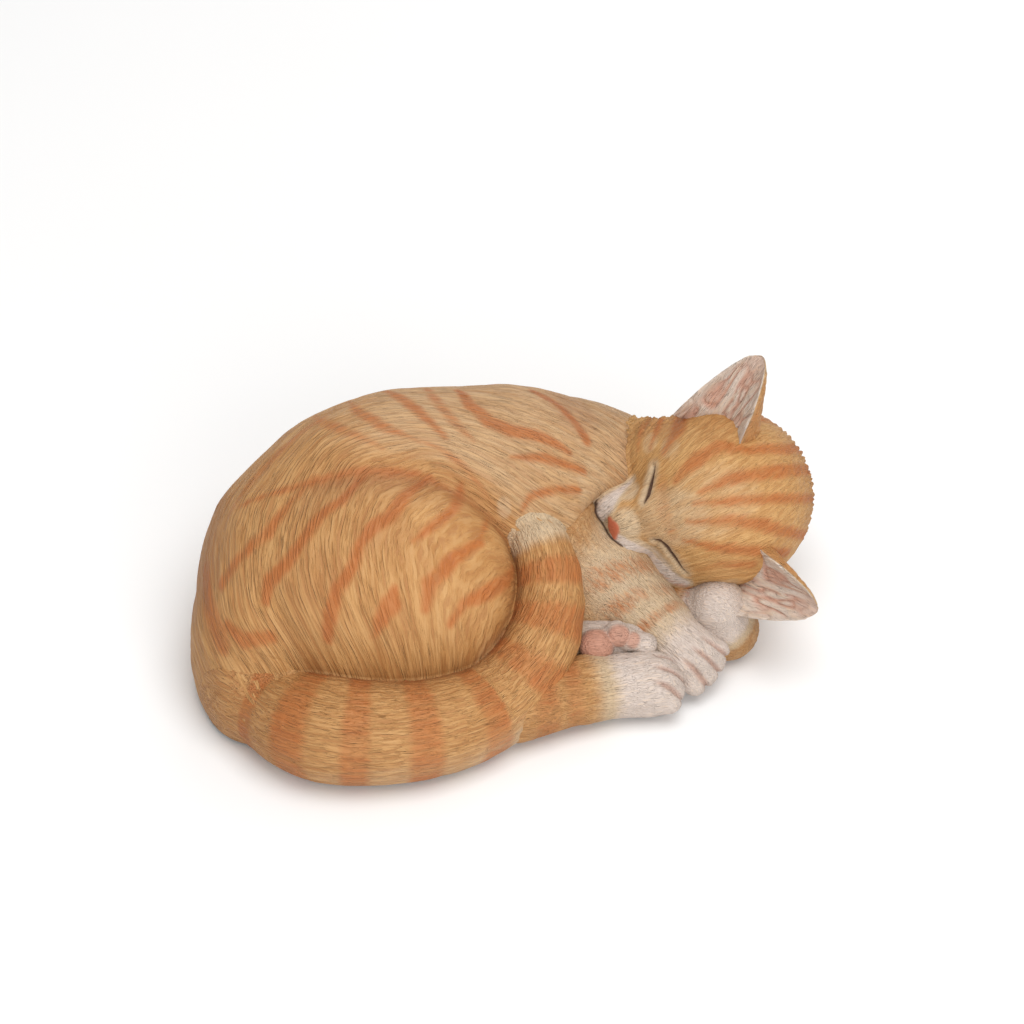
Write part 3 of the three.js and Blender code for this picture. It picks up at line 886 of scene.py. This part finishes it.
def make_ear(name, side, base, length, inner, back, node, material):
    """Base is how far from the head's middle its root is, and back how thick it is behind at the root."""
    shape = bmesh.new()
    bmesh.ops.create_uvsphere(shape, u_segments=faces(220), v_segments=faces(240), radius=1)
    skin = Skin(name, shape)
    x, y, z = skin.start.T
    rise = 1 - np.arccos(np.clip(z, -1, 1)) / math.pi
    ring = np.maximum(np.hypot(x, y), 1e-6)
    across, frontward = x / ring, y / ring
    outward = across * side
    root_shut, tip_shut = EAR_SHUTS
    close = np.sqrt(np.clip((1 - rise) / tip_shut, 0, 1)) * np.sqrt(np.clip(rise / root_shut, 0, 1))
    half = ear_half_width(rise, outward, inner)
    aside = np.sign(across) * np.abs(across) ** 0.75 * half * close
    edge = np.abs(aside) / half
    curl = EAR_CUP * np.minimum(1, 1.25 * half / EAR_HALF) * (1 - EAR_UNCURL * rise) * (aside / half) ** 2
    before = mix(EAR_THIN, EAR_LIP, ramp(edge, 0.72, 0.95)) + 0.25
    behind = mix(back, EAR_TIP_BACK, np.clip((rise - 0.1) / 0.85, 0, 1) ** 0.7)
    fleshy = np.maximum(-frontward, 0) ** 0.4 * close * mix(0.25, 1, ramp(outward, -0.9, 0.5))
    thick = np.where(frontward > 0, before * np.abs(frontward) ** 0.5 * close, 0) - behind * fleshy
    aside = aside + side * EAR_OUTWARD * (1 - rise) ** 1.5 * fleshy
    height = (EAR_ROOT + length) * rise - EAR_ROOT
    front_side = ramp(frontward, -0.05, 0.15)
    fold = np.exp(-(((aside * side + half * 0.45) / 2.2) ** 2)) * ramp(rise, 0.62, 0.25) * front_side
    fur = np.column_stack((height, aside, thick))
    hairs = (engraving(fur, *EAR_HAIR, 91) - MEAN_HAIR) * front_side * ramp(rise, 0.95, 0.6)
    relief = 1.8 * fold + 0.9 * hairs - 0.5 * front_side * (1 - edge**2)
    root, directions = ear_directions(side, base)
    skin.place = root + np.column_stack((aside, height, thick + curl + relief)) @ directions
    skin.turn_out()
    skin.swell(0.25 * (1 - front_side) * (engraving(fur, *EAR_FUR, 95) - MEAN_HAIR))
    stripe = 0.35 * (1 - front_side) * ramp(rise, 0.9, 0.6)
    cream = np.maximum(1.7 * front_side, 0.6 * ramp(rise, 0.8, 1))
    pink = front_side * ramp(edge, 0.95, 0.6) * np.clip(0.4 - 1.6 * hairs, 0, 1)
    skin.paint(fur, stripe, cream, 0.5 * ramp(rise, 0.3, 0.05), pink)
    skin.finish(material, "pale_fur", node)


# Name, side, base, length, inner half's share, thickness behind and CAD node.
EARS = (
    ("upper_ear_leaf", 1, 27, 37.5, 0.72, 17, "upper_ear"),
    ("lower_ear_leaf", -1, 32, 33.5, 0.75, 9, "lower_ear"),
)


# ---- Forelegs and hind feet ----
PAW_RADIUS = 11
FLATNESS = 0.88
TOE_RADIUS = 0.44
TOE_REACH = 0.78
TOE_FALLS_BACK = 0.1
WRIST_RADIUS = 0.85


def pad(place, radius):
    return egg(place, (radius, radius, radius * FLATNESS))


def paw(wrist, knuckles, aim, spread):
    knuckles = np.array(knuckles, float)
    forearm = limb((*wrist, PAW_RADIUS * WRIST_RADIUS), (*knuckles, PAW_RADIUS * WRIST_RADIUS))
    palm = press(PAW_RADIUS / 2, forearm, pad(knuckles, PAW_RADIUS))
    toes = []
    for k in (-1.5, -0.5, 0.5, 1.5):
        reach = PAW_RADIUS * (TOE_REACH - TOE_FALLS_BACK * abs(k))
        radius = PAW_RADIUS * TOE_RADIUS
        toes.append(pad(knuckles + radius * k * spread + reach * aim, radius))
    return press(PAW_RADIUS / 6, palm, *toes)


ARM_ELBOW, ARM_WRIST, ARM_KNUCKLES = (28, -12, 29), (56, -33, 18), (67.5, -43, 12.5)
upper_arm = press(
    5,
    limb((*ARM_ELBOW, 17), (*ARM_WRIST, 12.1)),
    paw(ARM_WRIST, ARM_KNUCKLES, unit(0.74, -0.62, -0.25), unit(0.55, 0.72, 0.4)),
)
PILLOW_ELBOW, PILLOW_WRIST, PILLOW_KNUCKLES = (45, -8, 14), (81, -27, 11), (78, -27, 22)
pillow_arm = press(
    5,
    limb((*PILLOW_ELBOW, 12), (70, -20, 12, 12), (*PILLOW_WRIST, 11)),
    limb((*PILLOW_WRIST, 10.45), (*PILLOW_KNUCKLES, 10.45)),
)
HEEL, FOOT_KNUCKLES = (4, -70, 13), (52, -56.5, 11.5)
near_foot = press(
    4,
    limb((*HEEL, 13), (30, -60, 12.5, 11.55), (*FOOT_KNUCKLES, 11)),
    paw((38, -58, 12), FOOT_KNUCKLES, unit(1, 0.02, -0.05), unit(0, 1, 0.25)),
)
FAR_HEEL, FAR_KNUCKLES = (18, -42, 16), (45, -41, 17)
FAR_PADS = ((33, -48, 22.5, 6.5), (40.5, -45, 25.5, 5), (45, -46, 23, 4.4), (50.5, -47, 22, 4.6))
far_foot = press(
    1.5,
    limb((*FAR_HEEL, 10), (*FAR_KNUCKLES, 8.5)),
    *(pad(place[:3], place[3]) for place in FAR_PADS),
)


def arm_in_chest(p):
    """The upper arm runs into the chest in a soft fold."""
    return np.maximum(softer(upper_arm(p), torso(p), 14), upper_arm(p) - 7.5)


TOE_GAPS = (-5.6, 0, 5.6)  # from the middle of the paw
TOE_GAP_WIDTH = 0.9
PAW_FINENESS = 1.5  # a leg's strands are finer than the body's by this much
LEG_RELIEF = 0.8
PAD_SWELL = 0.5
WHITE = 2  # cream above 1 turns to white


def spots(p, places):
    """Soft round patches in space, each x, y, z, reach and strength."""
    paint = np.zeros(len(p))
    for x, y, z, reach, strength in places:
        away = np.linalg.norm(p - (x, y, z), axis=1) / reach
        paint = np.maximum(paint, strength * ramp(away, 1.2, 0.7))
    return paint


def toe_grooves(p, knuckles, aim, spread):
    """1 along the three grooves between a paw's toes."""
    away = p - np.array(knuckles, float)
    forward, aside = away @ aim, away @ spread
    grooves = np.zeros(len(p))
    for middle in TOE_GAPS:
        lean = aside - middle * (1 + 0.02 * forward)
        grooves = np.maximum(grooves, np.exp(-((lean / TOE_GAP_WIDTH) ** 2)))
    return grooves * ramp(forward, -1, 6)


def leg_paint(p, run, aside, looks, seed):
    """Bands on a cream leg that turns white towards its paw."""
    white = ramp(run, *looks["white_run"])
    cream = np.maximum(mix(looks["cream"], WHITE, white), WHITE * spots(p, looks.get("white", ())))
    stripe = np.zeros(len(p))
    for middle, half, lean in looks["bands"]:
        stripe = np.maximum(stripe, ramp(np.abs(run + lean * aside - middle), half * 2.2, half * 0.2))
    stripe *= 0.6 * (1 - white) * mix(0.4, 1.4, grain(p / 9, seed))
    if "run_in" in looks:
        own = ramp(torso(p), 1, 10)
        cream, stripe = mix(0.25, cream, own), stripe * own
    return stripe, cream


def make_leg(name, mass, line, node, looks, seed, material):
    skin, fur = sleeve(name, line, mass, looks.get("run_in", mass), 170, 330)
    run = fur[:, 0]
    fur = fur * PAW_FINENESS
    skin.stand()
    p = skin.place
    gaps = toe_grooves(p, *looks["toes"]) if "toes" in looks else np.zeros(skin.count)
    stripe, cream = leg_paint(p, run, fur[:, 1], looks, seed)
    pads = spots(p, looks.get("pads", ()))
    relief = LEG_RELIEF * fur_relief(fur, seed) * (1 - 0.7 * pads)
    skin.swell(relief + PAD_SWELL * pads - depth("toe_gap") * gaps)
    skin.stand()
    # The line here is the painted shadow in the chin crease.
    skin.paint(fur, stripe, cream, 0.1 + 0.3 * gaps, np.maximum(pads, 0.6 * gaps), chin_shadow_distance(p))
    skin.finish(material, "pale_fur", node)


# Name, mass, the line inside it, CAD node, looks and seed. A band is its middle, half width and lean.
LEGS = (
    ("upper_foreleg_casting", upper_arm, straight(ARM_ELBOW, ARM_KNUCKLES), "upper_foreleg",
     {"cream": 1.1, "white_run": (36, 52), "bands": ((16, 4, 0.3), (28, 3, 0.3), (37, 2, 0.15)),
      "run_in": arm_in_chest, "toes": (ARM_KNUCKLES, unit(0.74, -0.62, -0.25), unit(0.55, 0.72, 0.4))}, 101),
    ("pillow_foreleg_casting", pillow_arm, straight(PILLOW_ELBOW, (79.8, -27, 15.4)), "pillow_foreleg",
     {"cream": 0.2, "white_run": (60, 70), "bands": ((24, 3, 0),),
      "white": ((76, -30, 22, 15, 1.0), (70, -30, 16, 10, 0.8))}, 111),
    ("near_hind_foot_casting", near_foot, straight(HEEL, FOOT_KNUCKLES), "near_hind_foot",
     {"cream": 0.1, "white_run": (24, 42), "bands": ((9, 4, 0), (20, 3, 0)),
      "toes": (FOOT_KNUCKLES, unit(1, 0.02, -0.05), unit(0, 1, 0.25))}, 121),
    ("far_hind_foot_casting", far_foot, straight(FAR_HEEL, FAR_KNUCKLES), "far_hind_foot",
     {"cream": 0.8, "white_run": (5, 15), "bands": (),
      "pads": ((33, -51, 25, 6.5, 1.3), (41, -48, 27, 4.2, 1.2), (46, -48, 25, 3, 1.1))}, 131),
)  # fmt: skip


# ---- Paints ----
def linear(*steps):
    """A colour given in 255 steps, as the shader wants it."""
    shares = (step / 255 for step in steps)
    return tuple(c / 12.92 if c <= 0.04045 else ((c + 0.055) / 1.055) ** 2.4 for c in shares)


class Finish:
    """A material's node tree. Each call adds a node and gives its output."""

    def __init__(self, name, roughness, specular):
        self.material = bpy.data.materials.new(name)
        self.material.use_nodes = True
        self.tree = self.material.node_tree
        self.shader = self.tree.nodes["Principled BSDF"]
        self.shader.inputs["Roughness"].default_value = roughness
        self.shader.inputs["Specular IOR Level"].default_value = specular

    def add(self, kind, output, inputs, **settings):
        node = self.tree.nodes.new("ShaderNode" + kind)
        for name, value in settings.items():
            setattr(node, name, value)
        for socket, value in inputs.items():
            if isinstance(value, bpy.types.NodeSocket):
                self.tree.links.new(value, node.inputs[socket])
            else:
                node.inputs[socket].default_value = value
        return node.outputs[output]

    def to_shader(self, socket, value):
        self.tree.links.new(value, self.shader.inputs[socket])

    def attribute(self, name):
        return self.add("Attribute", "Vector", {}, attribute_name=name)

    def parts(self, vector):
        node = self.add("SeparateXYZ", "X", {"Vector": vector}).node
        return node.outputs["X"], node.outputs["Y"], node.outputs["Z"]

    def vector(self, operation, a, b):
        return self.add("VectorMath", "Vector", {0: a, 1: b}, operation=operation)

    def math(self, operation, a, b=0.0, c=0.0):
        return self.add("Math", "Value", {0: a, 1: b, 2: c}, operation=operation)

    def ramp(self, value, start, end, low=0.0, high=1.0):
        inputs = {"Value": value, "From Min": start, "From Max": end, "To Min": low, "To Max": high}
        return self.add("MapRange", "Result", inputs, interpolation_type="SMOOTHSTEP")

    def blend(self, share, a, b):
        return self.add("Mix", 2, {0: share, 6: a, 7: b}, data_type="RGBA")

    def noise(self, vector, scale, detail=2.0, roughness=0.5):
        inputs = {"Vector": vector, "Scale": scale, "Detail": detail, "Roughness": roughness}
        return self.add("TexNoise", "Fac", inputs)

    def bump(self, height, depth, normal=None):
        inputs = {"Height": height, "Distance": depth, "Strength": 1.0}
        if normal is not None:
            inputs["Normal"] = normal
        return self.add("Bump", "Normal", inputs)


STRAND_BUMP, FINE_BUMP = 0.00035, 0.0003


def comb_noises(finish):
    """Three patterns drawn out along the fur: strands, finer strands and locks."""
    fur = finish.attribute("fur")
    wander = finish.add("TexNoise", "Color", {"Vector": fur, "Scale": 0.12, "Detail": 2.0})
    wander = finish.vector("MULTIPLY", finish.vector("SUBTRACT", wander, (0.5, 0.5, 0.5)), (0.0, 2.0, 2.0))
    combed = finish.vector("ADD", fur, wander)
    scales = ((0.11, 1.4, 1.4), (0.25, 3.2, 3.2), (0.06, 0.42, 0.42))
    return [finish.noise(finish.vector("MULTIPLY", combed, scale), 1.0) for scale in scales]


def ragged_bands(finish, stripe, strands, locks):
    """Stripes whose edges break up along the strands."""
    ragged = finish.math("MULTIPLY_ADD", finish.math("SUBTRACT", strands, 0.5), 0.8, stripe)
    ragged = finish.math("MULTIPLY_ADD", finish.math("SUBTRACT", locks, 0.5), 1.1, ragged)
    return finish.math("MULTIPLY", finish.ramp(ragged, 0.1, 1.0), finish.ramp(stripe, 0.0, 0.3))


def painted_clay(name, colours, engraved):
    """Strands brushed and engraved along the fur, this deep from 0 to 1, with a wash in the grooves."""
    finish = Finish(name, roughness=0.58, specular=0.35)
    stripe, cream, pink = finish.parts(finish.attribute("paint"))
    line, wash, nose = finish.parts(finish.attribute("mark"))
    strands, fine, locks = comb_noises(finish)
    banded = ragged_bands(finish, stripe, strands, locks)
    brushed_cream = finish.math("MULTIPLY_ADD", finish.math("SUBTRACT", locks, 0.5), 0.5, cream)
    pale = finish.math("MULTIPLY", finish.ramp(brushed_cream, 0.0, 1.0), finish.ramp(cream, 0.02, 0.2))
    crest = finish.math("MULTIPLY_ADD", banded, -0.1, 0.22)
    crest = finish.math("MULTIPLY", finish.ramp(strands, 0.5, 0.68), crest)
    groove = finish.math("MULTIPLY_ADD", pale, -0.17 * engraved, 0.3 * engraved)
    groove = finish.math("MULTIPLY", finish.ramp(strands, 0.52, 0.36), groove)

    colour = finish.blend(finish.ramp(locks, 0.3, 0.7), colours["tan"], colours["gold"])
    colour = finish.blend(pale, colour, colours["cream"])
    colour = finish.blend(finish.ramp(brushed_cream, 1.0, 2.0), colour, colours["white"])
    colour = finish.blend(finish.math("MULTIPLY", banded, 0.92), colour, colours["orange"])
    colour = finish.blend(crest, colour, colours["tip"])
    colour = finish.blend(groove, colour, finish.blend(pale, colours["rust"], colours["shade"]))
    # The rust wash also paints the shade in the chin crease.
    colour = finish.blend(finish.math("MULTIPLY", wash, 0.55), colour, colours["rust"])
    colour = finish.blend(finish.math("MULTIPLY", pink, 0.75), colour, colours["pink"])
    colour = finish.blend(nose, colour, colours["brick"])
    # The line colour paints the closed eyes and the shadow in the chin crease.
    colour = finish.blend(finish.ramp(line, 0.7, 0.0), colour, colours["line"])
    finish.to_shader("Base Color", colour)

    furry = finish.math("MULTIPLY_ADD", nose, -0.85, 1.0)
    height = finish.math("MULTIPLY", finish.ramp(strands, 0.34, 0.62), furry)
    normal = finish.bump(height, STRAND_BUMP * engraved)
    normal = finish.bump(finish.math("MULTIPLY", fine, furry), FINE_BUMP * engraved, normal)
    finish.to_shader("Normal", normal)
    return finish.material


def felt(name):
    """Short matted fibres, as an extra brown pad."""
    finish = Finish(name, roughness=0.95, specular=0.1)
    place = finish.add("TexCoord", "Object", {})
    fibres = finish.noise(place, 900.0, 4.0, 0.7)
    patches = finish.noise(place, 120.0, 2.0)
    dark, light = (*linear(84, 62, 46), 1), (*linear(108, 82, 62), 1)
    colour = finish.blend(finish.ramp(patches, 0.35, 0.65), dark, light)
    colour = finish.blend(finish.ramp(fibres, 0.45, 0.7, 0.0, 0.5), colour, (*linear(150, 122, 96), 1))
    finish.to_shader("Base Color", colour)
    finish.to_shader("Normal", finish.bump(fibres, 0.0006))
    return finish.material


def floor_paint(name):
    finish = Finish(name, roughness=0.9, specular=0.1)
    place = finish.add("TexCoord", "Object", {})
    speckle = finish.noise(place, 3.0, 2.0)
    colour = finish.blend(speckle, (0.86, 0.86, 0.86, 1), (0.9, 0.9, 0.9, 1))
    finish.to_shader("Base Color", colour)
    return finish.material


# ---- Settings ----
def paint_colour(name, steps, description):
    return bpy.props.FloatVectorProperty(
        name=name, description=description, default=linear(*steps), size=3, min=0, max=1, subtype="COLOR"
    )


class KittenPaints(bpy.types.PropertyGroup):
    """The colours of the painted coat"""

    tan: paint_colour("Tan", (175, 125, 72), "Plain coat")
    gold: paint_colour("Gold", (188, 140, 86), "Lighter locks of the plain coat")
    fair_tan: paint_colour("Fair tan", (182, 133, 78), "Plain coat of the head")
    fair_gold: paint_colour("Fair gold", (197, 152, 96), "Lighter locks of the head's coat")
    orange: paint_colour("Orange", (172, 99, 46), "Stripes")
    cream: paint_colour("Cream", (198, 174, 142), "Muzzle, chest and the tail's tip")
    white: paint_colour("White", (211, 197, 187), "Feet and the ears' rims")
    tip: paint_colour("Strand tips", (206, 168, 118), "Crests of the strands")
    # Rust also paints the shade in the chin crease.
    rust: paint_colour("Rust wash", (138, 78, 40), "Wash left in the coat's grooves and creases")
    shade: paint_colour("Cream shade", (160, 126, 98), "Wash left in the cream parts' grooves")
    pink: paint_colour("Pink", (188, 136, 114), "Paw pads and the ears' bare insides")
    brick: paint_colour("Brick", (176, 96, 68), "Nose")
    # Line also paints the shadow in the chin crease.
    line: paint_colour("Line", (92, 66, 50), "Closed eyes and mouth")


def cut_depth(name, default, description):
    return bpy.props.FloatProperty(
        name=name, description=description, default=default, min=0, precision=5, unit="LENGTH"
    )


class KittenFur(bpy.types.PropertyGroup):
    """How deep the clay is cut"""

    lock: cut_depth("Locks", 0.0003, "Height of a lock of fur")
    strand: cut_depth("Strands", 0.00014, "Height of a strand in a lock")
    eye: cut_depth("Eyes", 0.0011, "Depth of the closed eyes")
    toe_gap: cut_depth("Toe gaps", 0.0015, "Depth of the grooves between the toes")


class KittenStage(bpy.types.PropertyGroup):
    """The camera and lights"""

    elevation: bpy.props.FloatProperty(
        name="Elevation", description="Camera's height above level", default=math.radians(42), subtype="ANGLE"
    )
    distance: bpy.props.FloatProperty(
        name="Distance", description="From the camera to the kitten", default=1.5795, min=0.5, unit="LENGTH"
    )
    lens: bpy.props.FloatProperty(name="Lens", description="Focal length in millimetres", default=150, min=35)
    key_power: bpy.props.FloatProperty(name="Key light", description="Watts", default=9.8, min=0)
    fill_power: bpy.props.FloatProperty(name="Fill light", description="Watts", default=8.8, min=0)
    sky: bpy.props.FloatProperty(name="Sky", description="Strength of its light", default=0.5, min=0)


def coat(name, plain=("tan", "gold"), engraved=1.0):
    """The painted clay of this name: the two colours of its plain coat, and how deep it is engraved."""
    paints = bpy.context.scene.kitten_paints
    colours = {key: (*getattr(paints, key), 1) for key in KittenPaints.__annotations__}
    colours["tan"], colours["gold"] = (colours[key] for key in plain)
    return bpy.data.materials.get(name) or painted_clay(name, colours, engraved)


# ---- Operators ----
class KITTEN_OT_body(bpy.types.Operator):
    """Model the torso and the haunch that lies against it"""

    bl_idname = "kitten.body"
    bl_label = "Torso and Haunch"

    def execute(self, context):
        for piece in BODY_PIECES:
            make_body(*piece, coat("ginger_clay"))
        return {"FINISHED"}


class KITTEN_OT_tail(bpy.types.Operator):
    """Model the ringed tail, curled round the haunch"""

    bl_idname = "kitten.tail"
    bl_label = "Tail"

    def execute(self, context):
        make_tail(coat("ginger_clay"))
        return {"FINISHED"}


class KITTEN_OT_head(bpy.types.Operator):
    """Model the sleeping head"""

    bl_idname = "kitten.head"
    bl_label = "Head"

    def execute(self, context):
        make_head(coat("fair_clay", ("fair_tan", "fair_gold"), 0.6))
        return {"FINISHED"}


class KITTEN_OT_ears(bpy.types.Operator):
    """Model the two cupped ears"""

    bl_idname = "kitten.ears"
    bl_label = "Ears"

    def execute(self, context):
        for ear in EARS:
            make_ear(*ear, coat("ear_clay"))
        return {"FINISHED"}


class KITTEN_OT_legs(bpy.types.Operator):
    """Model the forelegs and the hind feet"""

    bl_idname = "kitten.legs"
    bl_label = "Legs"

    def execute(self, context):
        for leg in LEGS:
            make_leg(*leg, coat("pale_clay", engraved=0.8))
        return {"FINISHED"}


class KITTEN_OT_pads(bpy.types.Operator):
    """Give the four pads on the underside their felt"""

    bl_idname = "kitten.pads"
    bl_label = "Felt Pads"

    def execute(self, context):
        material = felt("brown_felt")
        for name in PAD_PLACES:
            mesh = bpy.data.objects["felt_pad_" + name].data
            mesh.materials.clear()
            mesh.materials.append(material)
        return {"FINISHED"}


AIM = (2.6, 15.4, 30)  # the point of the layout that the camera looks at
FLOOR_HALF = 4
SENSOR = 36


def add_object(name, data):
    added = bpy.data.objects.new(name, data)
    bpy.context.scene.collection.objects.link(added)
    return added


def make_floor():
    shape = bmesh.new()
    bmesh.ops.create_grid(shape, x_segments=8, y_segments=8, size=FLOOR_HALF)
    mesh = bpy.data.meshes.new("floor")
    shape.to_mesh(mesh)
    shape.free()
    mesh.materials.append(floor_paint("pale_floor"))
    add_object("floor", mesh)


def area_light(name, place, size, power, aim):
    data = bpy.data.lights.new(name, "AREA")
    data.size = size
    data.energy = power
    light = add_object(name, data)
    light.location = place
    light.rotation_euler = (Vector(aim) - Vector(place)).to_track_quat("-Z", "Y").to_euler()


def make_sky(strength):
    world = bpy.data.worlds.new("sky")
    world.use_nodes = True
    background = world.node_tree.nodes["Background"]
    background.inputs["Color"].default_value = (1.0, 0.99, 0.975, 1)
    background.inputs["Strength"].default_value = strength
    bpy.context.scene.world = world
    bpy.context.scene.view_settings.view_transform = "Standard"


def make_camera(settings, aim):
    data = bpy.data.cameras.new("camera")
    data.lens = settings.lens
    data.sensor_width = SENSOR
    camera = add_object("camera", data)
    back = Vector((0, -math.cos(settings.elevation), math.sin(settings.elevation)))
    camera.location = aim + back * settings.distance
    camera.rotation_euler = back.to_track_quat("Z", "Y").to_euler()
    bpy.context.scene.camera = camera


class KITTEN_OT_stage(bpy.types.Operator):
    """Set out the floor, the lights, the sky and the camera"""

    bl_idname = "kitten.stage"
    bl_label = "Stage"

    def execute(self, context):
        settings = context.scene.kitten_stage
        aim = Vector(ORIGIN + np.array(AIM) * STRETCH)
        make_floor()
        area_light("key", aim + Vector((0.15, -0.3, 1.2)), 0.9, settings.key_power, aim)
        area_light("fill", aim + Vector((0.35, -1.25, 0.55)), 1.0, settings.fill_power, aim)
        area_light("back", aim + Vector((0.3, 1.1, 0.8)), 0.9, settings.fill_power / 2, aim)
        make_sky(settings.sky)
        make_camera(settings, aim)
        return {"FINISHED"}


class KITTEN_PT_panel(bpy.types.Panel):
    """Lists the kitten's pieces"""

    bl_idname = "KITTEN_PT_panel"
    bl_label = "Sleeping Kitten"
    bl_space_type = "VIEW_3D"
    bl_region_type = "UI"
    bl_category = "Kitten"

    def draw(self, context):
        for operator in OPERATORS:
            self.layout.operator(operator.bl_idname)
        scene = context.scene
        for settings in (scene.kitten_paints, scene.kitten_fur, scene.kitten_stage):
            box = self.layout.box()
            for key in settings.__annotations__:
                box.prop(settings, key)


OPERATORS = (
    KITTEN_OT_body,
    KITTEN_OT_tail,
    KITTEN_OT_head,
    KITTEN_OT_ears,
    KITTEN_OT_legs,
    KITTEN_OT_pads,
    KITTEN_OT_stage,
)
CLASSES = (KittenPaints, KittenFur, KittenStage, *OPERATORS, KITTEN_PT_panel)


def register():
    for made in CLASSES:
        bpy.utils.register_class(made)
    bpy.types.Scene.kitten_paints = bpy.props.PointerProperty(type=KittenPaints)
    bpy.types.Scene.kitten_fur = bpy.props.PointerProperty(type=KittenFur)
    bpy.types.Scene.kitten_stage = bpy.props.PointerProperty(type=KittenStage)


def unregister():
    del bpy.types.Scene.kitten_stage
    del bpy.types.Scene.kitten_fur
    del bpy.types.Scene.kitten_paints
    for made in reversed(CLASSES):
        bpy.utils.unregister_class(made)


def main():
    register()
    bpy.ops.kitten.body()
    bpy.ops.kitten.tail()
    bpy.ops.kitten.head()
    bpy.ops.kitten.ears()
    bpy.ops.kitten.legs()
    bpy.ops.kitten.pads()
    bpy.ops.kitten.stage()


if __name__ == "__main__":
    main()
